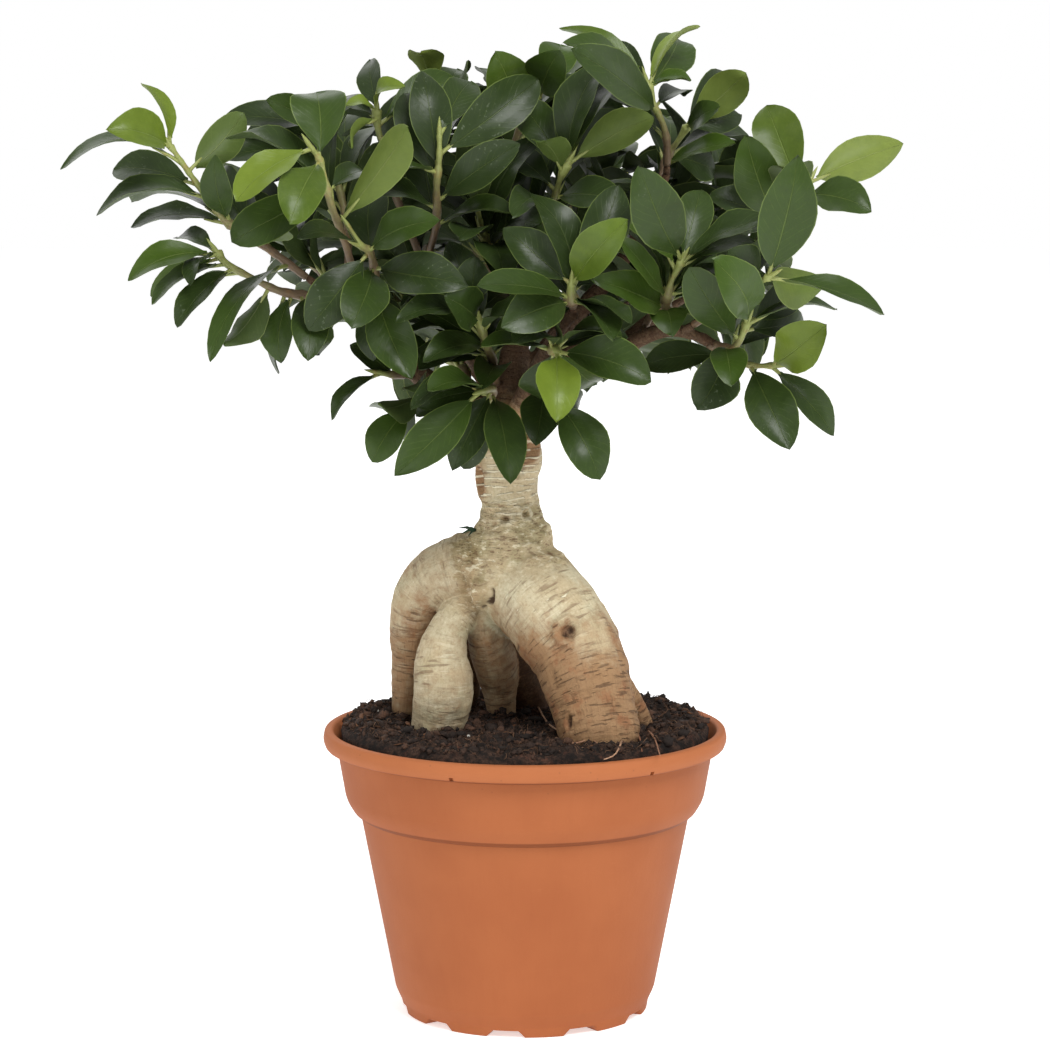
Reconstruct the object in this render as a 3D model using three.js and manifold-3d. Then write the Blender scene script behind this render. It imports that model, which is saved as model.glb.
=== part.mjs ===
// Ficus ginseng bonsai in a plastic nursery pot.
// Millimetres, +Z up, the front looks along -Y, the origin is on the pot's axis at its feet.
import * as THREE from "three";
import { mergeVertices } from "three/addons/utils/BufferGeometryUtils.js";
import Module from "manifold-3d";

const wasm = await Module();
wasm.setup();

const GAP = 0.3;

// Pot: outer and inner profile as [radius, height], from the underside's centre round to the floor inside.
// The pad in the middle of the underside, where the mould is filled, stands level with the foot ring.
const POT_SIDES = 32;
const POT_PROFILE = [
  [0, 0],
  [6, 0],
  [6.6, 2.2],
  [30, 2.2],
  [30.5, 0],
  [36.5, 0],
  [37, 3],
  [38.8, 7],
  [48.9, 59.3],
  [50.9, 60.4],
  [53.2, 64.2],
  [55.8, 79.2],
  [59.2, 79.8],
  [60, 82],
  [59.4, 84.9],
  [57, 85],
  [54.3, 77],
  [51.2, 65.5],
  [47.2, 59.5],
  [36.6, 5],
  [0, 5],
];
const FOOT_COUNT = 10;
const FOOT_NOTCH = { width: 9, depth: 12, height: 2, turn: 8, radius: 34 };
const GATE_TURNS = [-20.5, 37.5];
const GATE_NOTCH = { width: 4, depth: 4, height: 3, radius: 58.6, level: 79.6 };

// Soil: fills the pot to just under the rim, with a lumpy top.
const SOIL_PROFILE = [
  [0, 5.3],
  [36.2, 5.3],
  [46.8, 59.7],
  [50.8, 65.8],
  [53.9, 77],
  [55.4, 82.4],
  [47, 84.6],
  [36, 86],
  [22, 86.4],
  [8, 86.6],
  [0, 86.6],
];
const SOIL_SIDES = 28;
const SOIL_LUMP = { height: 0.7, above: 84, fadeFrom: 56, fadeOver: 12 };
const HOLE_CLEARANCE = 0.4;
const HOLE_DEEPER = 0.2;

// Trunk and swollen roots: rows of [x, y, z, radius] down the middle of each.
const TRUNK = [
  [-4, 3, 183, 4.5],
  [-5, 3, 179, 8.2],
  [-5, 2, 170, 9.9],
  [-5, 2, 164, 9.9],
  [-5, 2, 158, 8.8],
  [-4, 2, 151, 8.4],
  [-4, 2, 147, 9.5],
  [-4, 2, 141, 11.8],
  [-4, 2, 136, 12.6],
  [-4, 2, 129, 13.5],
  [-4, 3, 122, 10.5],
  [-4, 5, 117, 6.5],
];
const ROOTS = {
  right: [
    [-4, 2, 133, 11],
    [-2, 2, 129, 13.5],
    [4, -4, 124, 14.2],
    [10, -9, 117, 14.3],
    [15, -13, 110, 13.8],
    [18, -17, 102, 13.2],
    [20, -20, 95, 12.4],
    [22, -24, 86, 12],
    [23, -26, 79, 10],
  ],
  left: [
    [-5, 3, 134, 9],
    [-10, 3, 134, 10],
    [-18, 4, 132, 9.8],
    [-26, 6, 129, 9],
    [-32, 8, 122, 7.8],
    [-34, 10, 112, 6.6],
    [-34.5, 12, 103, 5.7],
    [-35, 13, 92, 5],
    [-36, 14, 84, 4.4],
    [-36, 14, 79, 3.8],
  ],
  front_left: [
    [-10, 2, 133, 5.5],
    [-14, 2, 127, 5],
    [-18.5, 0, 120, 5.2],
    [-22, -2, 115, 6],
    [-24, -4, 109, 7.4],
    [-24.2, -5, 103, 8.6],
    [-24.2, -6, 97, 9],
    [-25, -5, 91, 8.4],
    [-26, -4, 84, 7.6],
    [-26, -3, 79, 6.6],
  ],
  centre: [
    [-8, 2, 131, 7],
    [-12, 2, 123, 4.8],
    [-12.4, 3, 116, 5],
    [-10.8, 6, 109, 6.3],
    [-9.2, 9, 103, 6.5],
    [-8, 12, 97, 5.9],
    [-7.4, 13, 91, 4.9],
    [-7, 14, 84, 4.2],
    [-7, 15, 79, 3.6],
  ],
  back: [
    [-3, 6, 130, 9],
    [-5, 8, 122, 7],
    [-4, 14, 110, 6.5],
    [-2, 20, 98, 6.2],
    [2, 26, 87, 5.6],
    [3, 28, 79, 4.6],
  ],
  back_left: [
    [-8, 6, 128, 8],
    [-14, 12, 118, 7],
    [-18, 20, 106, 6.4],
    [-19, 27, 94, 5.6],
    [-20, 30, 85, 5],
    [-20, 31, 79, 4.4],
  ],
  side: [
    [19, -14, 110, 5],
    [24, -8, 104, 4],
    [29.5, -4, 97, 3.5],
    [33.5, -2, 90, 3.2],
    [35.5, -1, 84, 3],
    [36, 0, 79, 2.6],
  ],
};
const KNOB = { centre: [-12, -7, 127], radius: 4.2 };
const TREE_SIDES = { trunk: 10, root: 8, limb: 5, spur: 3 };
const LIMB_SAMPLES = 8;

// Woody limbs: the points along each and its radius at both ends.
const LIMBS = {
  leader: {
    points: [[-4, 2, 170], [-4, 2, 182], [-3, 6, 197], [-1, 8, 214], [-2, 8, 233], [-4, 6, 249]],
    thick: 6,
    thin: 1.5,
  },
  left: {
    points: [[-4, 2, 175], [-16, -3, 183], [-29, -6, 189], [-41, -8, 201], [-52, -12, 211], [-60, -14, 217]],
    thick: 4.6,
    thin: 1.5,
  },
  leftUp: {
    points: [[-4, 4, 179], [-14, 4, 193], [-23, 2, 208], [-29, -4, 223]],
    thick: 3.8,
    thin: 1.5,
  },
  right: {
    points: [[-3, 2, 179], [10, -4, 190], [25, -10, 197], [40, -16, 204], [52, -18, 202]],
    thick: 4.4,
    thin: 1.5,
  },
  rightUp: {
    points: [[-3, 6, 183], [10, 10, 201], [26, 8, 219], [36, 2, 236], [41, -3, 248]],
    thick: 3.6,
    thin: 1.4,
  },
  front: {
    points: [[-4, -2, 177], [3, -16, 192], [9, -28, 204], [14, -36, 210]],
    thick: 3.2,
    thin: 1.4,
  },
  backLeft: {
    points: [[-5, 8, 179], [-18, 28, 195], [-32, 42, 214], [-43, 48, 233]],
    thick: 3.8,
    thin: 1.4,
  },
  backRight: {
    points: [[-3, 8, 179], [15, 30, 196], [34, 44, 213], [50, 48, 228]],
    thick: 3.8,
    thin: 1.4,
  },
  back: {
    points: [[-4, 12, 180], [-2, 38, 197], [1, 54, 219], [3, 56, 239]],
    thick: 3.4,
    thin: 1.4,
  },
  rightFar: {
    points: [[25, -10, 197], [41, 2, 209], [59, 4, 220], [70, -2, 231]],
    thick: 2.6,
    thin: 1.3,
  },
};

// Leaves and the leafy stems that carry them.
const BLADE_THICKNESS = 0.7;
const STALK_SHARE = 0.12;
const STALK_HALF_WIDTH = 0.55;
const FOLD = 0.22;
const TWIG_RADIUS = { seat: 1.25, tip: 0.6 };
const SPUR_RADIUS = 1.3;
const SPUR_REACH = 2;
const LEAF_CLEARANCE = 1.6;
const EDGE_MARGIN = 1;
const WOOD_CLEARANCE = 1.1;
const FEWEST_TWIG_STEPS = 3;
const MOST_TWIG_STEPS = 4;
const TWIG_POINT = 3;
const TWIG_SIDES = { seen: 4, fill: 3 };

// Cross-sections of a leaf as [share of the length, places across, swell].
const LEAF_STATIONS = [
  [0, [0], 1],
  [0.42, [-1, 0, 1], 1.04],
  [0.8, [-1, 0, 1], 1.04],
  [1, [0], 1],
];

// Leaves that grow by rule. Turns and leans are in degrees, and a pair is a least value and a range.
const GROWTH = {
  place: [0.22, 0.78],
  goldenTurn: 137.5,
  stemTurn: 50,
  turnRange: 70,
  lean: 74,
  leanLess: 42,
  leanRange: 24,
  outward: 0.35,
  droop: 0.15,
  length: [23, 9],
  widthShare: [0.4, 0.09],
  facing: { wander: 0.6, up: 0.8, outward: 0.5 },
  bow: [0.06, 0.12],
  attempts: 14,
};
const CROWN_MIDDLE = new THREE.Vector3(-8, 5, 215);

// Eye point of the front view, used to move a leaf nearer or farther without changing its place in that view.
const EYE = new THREE.Vector3(0, -1000, 277);
const SHIFTS = [0, -3, 3, -6, 6, -9, 9, -13, 13, -17, 17];

// The crown's outline from the front as [x, z] at the pot's axis: the unseen leaves stay inside it.
const CROWN_OUTLINE = [
  [-70, 270], [-54, 270], [-41, 271], [-36, 278], [-28, 281], [-7, 281], [2, 278], [6, 284], [22, 286],
  [36, 286], [39, 276], [51, 273], [61, 268], [65, 259], [69, 265], [77, 261], [80, 250], [84, 241],
  [80, 231], [79, 223], [83, 215], [80, 203], [75, 193], [63, 190], [37, 190], [22, 188], [15, 182],
  [4, 171], [-13, 166], [-25, 171], [-37, 181], [-42, 191], [-51, 202], [-66, 203], [-73, 206],
  [-77, 218], [-80, 229], [-92, 238], [-103, 247], [-97, 257], [-83, 263],
];

// Stems seen from the front. A stem leaves its limb at the given place, counted in the limb's points.
// A leaf is [place along the stem, tip, width, turn and rise of the side its top faces, bow].
const SEEN_STEMS = [
  {
    name: "left_high",
    limb: "left",
    at: 5,
    route: [
      [-69, -18, 224], [-75, -22, 229], [-84, -26, 235], [-91, -30, 243], [-94, -34, 250], [-99, -38, 257],
    ],
    leaves: [
      [3, [-87, -38, 254], 10, -10, 10, 0.08],
      [3, [-113, -18, 234], 11, 0, 60, 0.1],
      [3, [-114, -6, 242], 11, 0, 84, 0.1],
      [4, [-120, -40, 239], 13, 0, 66, 0.16],
      [4.5, [-117, -26, 251], 12, 0, 35, 0.06],
      [5, [-80, -24, 266], 12.5, 168, 10, 0.05],
      [5.4, [-129, -46, 252], 12, 0, 74, 0.2],
      [6, [-114, -54, 263], 14, -20, 25, 0.1],
      [6, [-107, -36, 275], 8, 60, 0, 0.15],
      [1, [-90, -34, 198], 10, -35, 10, 0.12],
      [2, [-67, -38, 235], 8, 170, 0, 0.1],
    ],
  },
  {
    name: "left_low",
    limb: "left",
    at: 4.4,
    route: [[-64, -20, 214], [-73, -24, 217], [-80, -26, 221], [-85, -28, 224], [-87, -30, 227]],
    leaves: [
      [5, [-112, -36, 220], 11, -10, 45, 0.12],
      [5, [-94, -48, 220], 9, -50, 10, 0.15],
      [4.6, [-108, -16, 214], 8, -50, 30, 0.1],
      [4, [-106, -32, 213], 9, 0, 66, 0.14],
      [3.6, [-98, -40, 207], 11, -40, 10, 0.1],
      [3.2, [-100, -12, 207], 9, 0, 66, 0.16],
      [2, [-85, -30, 200], 12, 150, -20, 0.08],
      [5, [-100, -14, 231], 8, 0, 60, 0.1],
      [1.3, [-70, -30, 196], 11, -25, 0, 0.1],
      [1.5, [-72, -12, 191], 7, -60, 0, 0.1],
      [1, [-61, -40, 198], 12, 10, 0, 0.1],
      [1, [-59, -8, 196], 10, 40, 0, 0.1],
    ],
  },
  {
    name: "left_front",
    limb: "left",
    at: 3.4,
    route: [[-49, -26, 224], [-53, -38, 236], [-55, -44, 245], [-57, -47, 254], [-59, -50, 257]],
    leaves: [
      [4, [-59, -32, 274], 17, 0, 5, 0.06],
      [5, [-79, -64, 244], 13, -10, 38, 0.1],
      [4, [-64, -66, 238], 14.5, 0, 20, 0.08],
      [3, [-81, -54, 232], 15, -5, 20, 0.08],
      [3, [-44, -26, 250], 10, 0, 52, 0.1],
      [2, [-32, -44, 263], 12, 172, -10, 0.08],
    ],
  },
  {
    name: "left_behind",
    limb: "left",
    at: 4,
    route: [[-51, -8, 227], [-53, -5, 241], [-57, -4, 254], [-60, -4, 262]],
    leaves: [
      [4, [-87, -10, 265], 12, 0, 50, 0.1],
      [3.5, [-83, 2, 258], 12, 0, 30, 0.1],
      [4, [-73, -20, 270], 9, -10, 20, 0.1],
      [3, [-90, -6, 253], 12, 0, 45, 0.08],
      [4, [-50, 0, 271], 10, 0, 60, 0.08],
    ],
  },
  {
    name: "left_inner",
    limb: "left",
    at: 3,
    route: [[-43, -28, 224], [-46, -34, 229], [-49, -38, 234]],
    leaves: [
      [3, [-63, -56, 233], 12, 160, 30, 0.3],
      [1.6, [-24, -46, 237], 13, 0, 32, 0.1],
      [1, [-48, -52, 208], 14, 0, -5, 0.08],
      [1.5, [-61, -40, 206], 14, -12, 5, 0.08],
      [2, [-64, -30, 232], 9, 0, 50, 0.08],
      [1, [-17, -48, 220], 15, 5, 20, 0.06],
      [0.7, [-32, -38, 192], 15, 0, 8, 0.08],
      [0.6, [-44, -24, 196], 9, -30, 0, 0.08],
    ],
  },
  {
    name: "crown_left",
    limb: "leftUp",
    at: 3,
    route: [[-26, -14, 230], [-25, -24, 240], [-25, -30, 248], [-24, -34, 255], [-24, -36, 260]],
    leaves: [
      [2.2, [-2, -40, 258], 13, 10, 20, 0.06],
      [3.3, [-40, -46, 250], 11, 0, 70, 0.08],
      [2, [-43, -40, 246], 12, 0, 50, 0.08],
      [4, [4, -30, 276], 14, 15, 20, 0.08],
      [5, [-15, -18, 276], 12, 5, 5, 0.06],
      [1.5, [-4, -32, 240], 12, 0, 60, 0.08],
    ],
  },
  {
    name: "crown_left_side",
    limb: "leftUp",
    at: 2.6,
    route: [[-36, -6, 237], [-38, -14, 247], [-40, -20, 256], [-42, -23, 263], [-42, -25, 267]],
    leaves: [
      [4, [-19, -8, 276], 11, 10, 42, 0.1],
      [5, [-34, -32, 274], 7, 0, 50, 0.3],
      [5, [-50, -38, 269], 7, 0, 60, 0.2],
      [4.5, [-49, -42, 257], 6, -60, 0, 0.1],
      [5, [-45, -10, 282], 9, -30, 20, 0.06],
      [4.5, [-54, -12, 271], 10, 0, 70, 0.06],
    ],
  },
  {
    name: "crown_left_back",
    limb: "backLeft",
    at: 2.2,
    route: [[-28, 30, 238], [-27, 22, 255], [-27, 14, 267], [-27, 10, 273]],
    leaves: [
      [4, [-30, -6, 284], 12, 0, 30, 0.08],
      [3, [-20, 26, 280], 10, 0, 20, 0.08],
      [3.4, [-16, 4, 281], 8, 84, 0, 0.1],
    ],
  },
  {
    name: "crown_mid",
    limb: "leader",
    at: 5,
    route: [[-3, 2, 257], [0, 0, 265], [4, -2, 271]],
    leaves: [
      [2, [-8, -10, 283], 14, 0, 15, 0.06],
      [3, [11, 12, 287], 12, 10, 15, 0.1],
      [3, [9, -18, 283], 14, 0, 15, 0.06],
    ],
  },
  {
    name: "crown_front",
    limb: "leader",
    at: 4,
    route: [[1, -8, 230], [7, -18, 239], [10, -27, 248], [12, -30, 252]],
    leaves: [
      [4, [36, -34, 266], 12, 175, 20, 0.12],
      [3.4, [3, -46, 260], 11, 160, 20, 0.08],
      [3.6, [-2, -18, 270], 12, 0, 25, 0.06],
      [4, [32, -22, 280], 8, 0, 80, 0.1],
      [2.6, [-7, -8, 256], 11, 0, 45, 0.1],
      [2.4, [27, -36, 242], 12, 5, 35, 0.08],
    ],
  },
  {
    name: "top_right",
    limb: "rightUp",
    at: 4,
    route: [[41, -8, 256], [40, -12, 262], [37, -16, 268], [35, -18, 274]],
    leaves: [
      [4, [10, -28, 291], 8, 0, 50, 0.12],
      [3.6, [12, -38, 287], 10, 0, 35, 0.06],
      [2.7, [15, -34, 284], 13, 0, 15, 0.06],
      [3.5, [25, -2, 286], 9, 0, 10, 0.06],
      [4, [49, -10, 292], 9, -66, 10, 0.1],
      [3.9, [45, 4, 289], 14, 5, 5, 0.06],
      [4, [48, -4, 276], 8, 0, 70, 0.1],
      [3, [47, 10, 272], 9, 0, 60, 0.1],
    ],
  },
  {
    name: "top_right_side",
    limb: "rightUp",
    at: 3.4,
    route: [[41, 4, 252], [44, 2, 257], [47, 0, 262]],
    leaves: [
      [3, [64, -8, 278], 12, 172, 10, 0.08],
      [2.6, [61, 14, 279], 13, 0, 10, 0.06],
      [3, [64, 12, 266], 11, 0, 20, 0.06],
      [3, [54, -16, 268], 9, 0, 20, 0.06],
      [1, [60, -14, 258], 10, 0, 45, 0.06],
      [1.4, [57, 16, 249], 12, 0, 20, 0.08],
    ],
  },
  {
    name: "right_inner",
    limb: "right",
    at: 3,
    route: [[40, -25, 211], [41, -32, 218], [44, -38, 225]],
    leaves: [
      [3, [32, -58, 251], 16, -10, 25, 0.08],
      [2.6, [27, -30, 238], 10, -30, 55, 0.22],
      [1.6, [29, -16, 234], 8, 60, 0, 0.06],
      [1.4, [27, -46, 232], 8, 50, 0, 0.06],
      [1, [20, -48, 221], 12, -5, 22, 0.08],
      [3, [67, -46, 238], 12, 0, 60, 0.08],
      [2.8, [63, -60, 232], 10, 0, 55, 0.08],
      [3, [50, -26, 245], 12, 5, 10, 0.1],
      [1, [41, -46, 206], 12, 0, 35, 0.1],
      [1, [60, -30, 222], 8, 0, 66, 0.22],
    ],
  },
  {
    name: "right_low",
    limb: "right",
    at: 4,
    route: [[58, -24, 199], [61, -28, 202], [63, -30, 207]],
    leaves: [
      [3, [54, -56, 225], 15, 8, 12, 0.1],
      [2, [46, -54, 223], 13, -15, 12, 0.05],
      [3, [89, -24, 212], 8, 0, 80, 0.1],
      [3, [79, -10, 216], 11, 10, 10, 0.08],
      [2.6, [83, -4, 205], 11, 5, 25, 0.08],
      [1, [58, -46, 192], 12, 0, 38, 0.1],
      [1, [49, -34, 183], 14, 5, -5, 0.1],
    ],
  },
  {
    name: "right_low_out",
    limb: "right",
    at: 3.7,
    route: [[59, -12, 196], [65, -16, 194], [71, -18, 194]],
    leaves: [
      [3, [84, -32, 206], 15, 0, 12, 0.08],
      [3, [90, -18, 174], 11, 25, 12, 0.08],
      [2, [75, -36, 172], 16, 0, 10, 0.1],
      [1, [34, -14, 194], 10, 0, 25, 0.06],
    ],
  },
  {
    name: "right_high",
    limb: "rightFar",
    at: 3,
    route: [[75, -6, 238], [80, -7, 243], [82, -6, 246]],
    leaves: [
      [2, [70, 2, 269], 16, -5, 8, 0.08],
      [0.6, [63, -22, 259], 16, -8, 5, 0.08],
      [1, [73, -34, 253], 13, -5, 22, 0.06],
      [3, [110, 2, 257], 13, 172, 0, 0.08],
      [2, [99, -18, 239], 14, 8, 30, 0.08],
      [0.6, [53, -20, 243], 12, 0, 30, 0.08],
    ],
  },
  {
    name: "right_mid",
    limb: "right",
    at: 3.4,
    route: [[54, -26, 210], [61, -36, 216], [68, -44, 221]],
    leaves: [
      [3, [75, -60, 254], 17, 8, 10, 0.06],
      [3, [101, -42, 211], 11, 0, 64, 0.08],
      [3, [85, -26, 218], 13, 172, -20, 0.06],
      [2.6, [56, -58, 229], 12, 0, 20, 0.08],
    ],
  },
  {
    name: "front_mid",
    limb: "front",
    at: 3,
    route: [[13, -42, 215], [13, -45, 219]],
    leaves: [
      [2, [27, -60, 237], 13, 0, 18, 0.08],
      [2, [-6, -42, 235], 13, 0, 22, 0.06],
      [1, [-13, -62, 220], 11, 0, 40, 0.08],
      [0.8, [-6, -66, 209], 14, -5, 15, 0.08],
      [1.4, [25, -18, 224], 10, 10, 20, 0.08],
    ],
  },
  {
    name: "front_low",
    limb: "front",
    at: 1.5,
    route: [[8, -34, 200], [9, -40, 200]],
    leaves: [
      [2, [9, -58, 183], 13, 5, 15, 0.08],
      [1.4, [3, -20, 184], 12, -10, 5, 0.08],
      [2, [35, -50, 193], 14, 0, 30, 0.06],
      [1.4, [21, -24, 188], 11, 0, -30, 0.08],
      [1, [-12, -52, 203], 10, 0, 64, 0.06],
    ],
  },
  {
    name: "front_drop",
    limb: "right",
    at: 0.5,
    route: [[6, -20, 188], [9, -30, 185]],
    leaves: [
      [2, [21, -44, 165], 15, 5, 20, 0.08],
      [0.8, [6, -32, 173], 12, 0, 5, 0.06],
      [1.4, [17, -12, 182], 8, 10, 5, 0.06],
    ],
  },
  {
    name: "front_left",
    limb: "leftUp",
    at: 0.4,
    route: [[-9, -14, 194], [-11, -24, 200], [-13, -30, 208], [-16, -32, 212]],
    leaves: [
      [2, [-28, -44, 198], 11, -5, 35, 0.08],
      [1, [-12, -34, 190], 12, 0, 30, 0.1],
      [3, [-21, -54, 216], 13, -10, 20, 0.06],
      [4, [-14, -46, 227], 11, 0, 25, 0.06],
      [3.4, [-6, -12, 215], 11, 0, 40, 0.06],
    ],
  },
  {
    name: "front_hang",
    limb: "left",
    at: 0.6,
    route: [[-9, -22, 187], [-11, -30, 188], [-13, -36, 188]],
    leaves: [
      [3, [-37, -42, 165], 13, -8, 22, 0.06],
      [1.4, [-21, -34, 166], 12, -15, 10, 0.06],
      [1, [-4, -46, 164], 13, 8, 12, 0.06],
      [0.8, [-18, -18, 164], 10, -10, 5, 0.06],
    ],
  },
  {
    name: "low_left",
    limb: "left",
    at: 1.6,
    route: [[-28, -14, 186], [-33, -18, 182]],
    leaves: [
      [1, [-42, -36, 184], 12, 165, -25, 0.15],
      [2, [-44, -24, 167], 11, -10, 12, 0.08],
      [1.6, [-38, -4, 171], 10, 0, 10, 0.1],
    ],
  },
  {
    name: "low_left_thin",
    limb: "left",
    at: 2.1,
    route: [[-38, -14, 191], [-42, -18, 192]],
    leaves: [
      [2, [-56, -26, 180], 8, -50, 10, 0.12],
      [1, [-51, -2, 199], 10, 0, 40, 0.1],
    ],
  },
];

// Stems that fill the back, the sides and the inside. Their leaves follow the rule in growLeaf.
const FILL_STEMS = [
  { name: "back_left_tip", limb: "backLeft", at: 3, route: [[-52, 54, 243], [-60, 60, 251]], count: 6 },
  { name: "back_left_high", limb: "backLeft", at: 2.4, route: [[-48, 52, 228], [-58, 58, 234]], count: 6 },
  { name: "back_left_mid", limb: "backLeft", at: 1.6, route: [[-36, 40, 206], [-46, 46, 214]], count: 5 },
  { name: "back_left_deep", limb: "backLeft", at: 2, route: [[-30, 56, 224], [-30, 70, 230]], count: 6 },
  { name: "back_left_low", limb: "backLeft", at: 1.2, route: [[-28, 42, 200], [-34, 52, 204]], count: 5 },
  { name: "back_right_tip", limb: "backRight", at: 3, route: [[60, 53, 236], [71, 57, 242]], count: 6 },
  { name: "back_right_deep", limb: "backRight", at: 2.4, route: [[44, 58, 226], [46, 70, 232]], count: 6 },
  { name: "back_right_mid", limb: "backRight", at: 2, route: [[50, 41, 212], [68, 44, 213]], count: 5 },
  { name: "back_right_low", limb: "backRight", at: 1.3, route: [[26, 40, 204], [34, 54, 206]], count: 5 },
  { name: "back_top", limb: "back", at: 3, route: [[4, 60, 250], [6, 62, 262]], count: 6 },
  { name: "back_right_of", limb: "back", at: 2.5, route: [[14, 62, 236], [26, 70, 244]], count: 5 },
  { name: "back_left_of", limb: "back", at: 2.2, route: [[-8, 64, 228], [-18, 74, 236]], count: 5 },
  { name: "back_mid", limb: "back", at: 1.5, route: [[2, 58, 206], [2, 74, 204]], count: 5 },
  { name: "back_low", limb: "back", at: 0.8, route: [[8, 38, 188], [12, 50, 190]], count: 5 },
  { name: "top_back", limb: "leader", at: 3.5, route: [[-2, 20, 250], [0, 30, 262]], count: 6 },
  { name: "inner_left", limb: "leader", at: 2.5, route: [[-14, 16, 226], [-22, 22, 236]], count: 5 },
  { name: "inner_right", limb: "leader", at: 2, route: [[12, 10, 220], [22, 10, 230]], count: 5 },
  { name: "left_up_back", limb: "leftUp", at: 2, route: [[-34, 10, 220], [-46, 15, 232]], count: 5 },
  { name: "left_mid_back", limb: "left", at: 2.5, route: [[-42, 6, 206], [-50, 14, 214]], count: 5 },
  { name: "left_tip_back", limb: "left", at: 4, route: [[-62, 2, 222], [-76, 8, 232]], count: 6 },
  { name: "right_up_back", limb: "rightUp", at: 2, route: [[36, 20, 232], [44, 30, 244]], count: 5 },
  { name: "right_mid_back", limb: "right", at: 2.5, route: [[42, 2, 216], [52, 12, 222]], count: 5 },
  { name: "right_far_back", limb: "rightFar", at: 2, route: [[64, 14, 222], [70, 26, 226]], count: 5 },
  { name: "inner_front_left", limb: "leader", at: 3, route: [[-10, -8, 226], [-13, -18, 236]], count: 5 },
  { name: "low_back_left", limb: "left", at: 1, route: [[-18, 10, 190], [-26, 22, 194]], count: 5 },
  { name: "low_back_right", limb: "right", at: 1.4, route: [[22, 10, 198], [32, 20, 202]], count: 5 },
];

// Small helpers.
const DEGREE = Math.PI / 180;

function vector(row) {
  return new THREE.Vector3(row[0], row[1], row[2]);
}

function solid(geometry) {
  const bare = geometry.clone();
  bare.deleteAttribute("normal");
  bare.deleteAttribute("uv");
  const merged = mergeVertices(bare, 1e-4);
  const kept = [];
  const index = merged.index.array;
  for (let i = 0; i < index.length; i += 3) {
    const [a, b, c] = [index[i], index[i + 1], index[i + 2]];
    if (a !== b && b !== c && a !== c) {
      kept.push(a, b, c);
    }
  }
  const vertProperties = new Float32Array(merged.attributes.position.array);
  return new wasm.Manifold(new wasm.Mesh({ numProp: 3, vertProperties, triVerts: new Uint32Array(kept) }));
}

function geometryOf(body) {
  const mesh = body.getMesh();
  const geometry = new THREE.BufferGeometry();
  geometry.setAttribute("position", new THREE.BufferAttribute(new Float32Array(mesh.vertProperties), 3));
  geometry.setIndex(new THREE.BufferAttribute(new Uint32Array(mesh.triVerts), 1));
  geometry.computeVertexNormals();
  return geometry;
}

function join(bodies) {
  return bodies.reduce((sum, body) => sum.add(body));
}

function curveThrough(points) {
  return new THREE.CatmullRomCurve3(points, false, "catmullrom", 0.5);
}

// A point at a place counted in the curve's own points: 0 is the first, 1 the second.
function placeOn(curve, place) {
  const last = curve.points.length - 1;
  return curve.getPoint(Math.min(Math.max(place / last, 0), 1));
}

// A closed skin over rings of points. A ring of one point is a pointed end.
function loft(rings) {
  const positions = [];
  const index = [];
  const starts = rings.map((ring) => {
    const start = positions.length / 3;
    ring.forEach((p) => positions.push(p.x, p.y, p.z));
    return start;
  });
  for (let r = 0; r + 1 < rings.length; r += 1) {
    const count = Math.max(rings[r].length, rings[r + 1].length);
    for (let k = 0; k < count; k += 1) {
      const next = (k + 1) % count;
      const a = starts[r] + k;
      const b = starts[r] + next;
      const c = starts[r + 1] + k;
      const d = starts[r + 1] + next;
      if (rings[r + 1].length === 1) {
        index.push(a, b, starts[r + 1]);
      } else if (rings[r].length === 1) {
        index.push(starts[r], d, c);
      } else {
        index.push(a, b, d, a, d, c);
      }
    }
  }
  const capAt = (r, turned) => {
    for (let k = 1; k + 1 < rings[r].length; k += 1) {
      const far = turned ? [k + 1, k] : [k, k + 1];
      index.push(starts[r], starts[r] + far[0], starts[r] + far[1]);
    }
  };
  capAt(0, true);
  capAt(rings.length - 1, false);
  const geometry = new THREE.BufferGeometry();
  geometry.setAttribute("position", new THREE.Float32BufferAttribute(positions, 3));
  geometry.setIndex(index);
  return geometry;
}

// Rings round a path, each turned as little as possible from the one before.
function ringsAlong(points, radii, sides) {
  const rings = [];
  let side = null;
  points.forEach((point, i) => {
    const before = points[Math.max(i - 1, 0)];
    const after = points[Math.min(i + 1, points.length - 1)];
    const along = after.clone().sub(before).normalize();
    if (side === null) {
      side = Math.abs(along.x) < 0.8 ? new THREE.Vector3(1, 0, 0) : new THREE.Vector3(0, 1, 0);
    }
    side = side.clone().addScaledVector(along, -side.dot(along)).normalize();
    const other = new THREE.Vector3().crossVectors(along, side);
    const ring = [];
    for (let k = 0; k < sides; k += 1) {
      const angle = (k / sides) * 2 * Math.PI;
      const spoke = side.clone().multiplyScalar(Math.cos(angle)).addScaledVector(other, Math.sin(angle));
      ring.push(point.clone().addScaledVector(spoke, radii[i]));
    }
    rings.push(ring);
  });
  return rings;
}

function tube(points, radii, sides) {
  return solid(loft(ringsAlong(points, radii, sides)));
}

function turned(geometry) {
  return geometry.rotateX(Math.PI / 2);
}

function lathe(profile, sides) {
  const points = profile.map((row) => new THREE.Vector2(row[0], row[1]));
  return turned(new THREE.LatheGeometry(points, sides));
}

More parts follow.
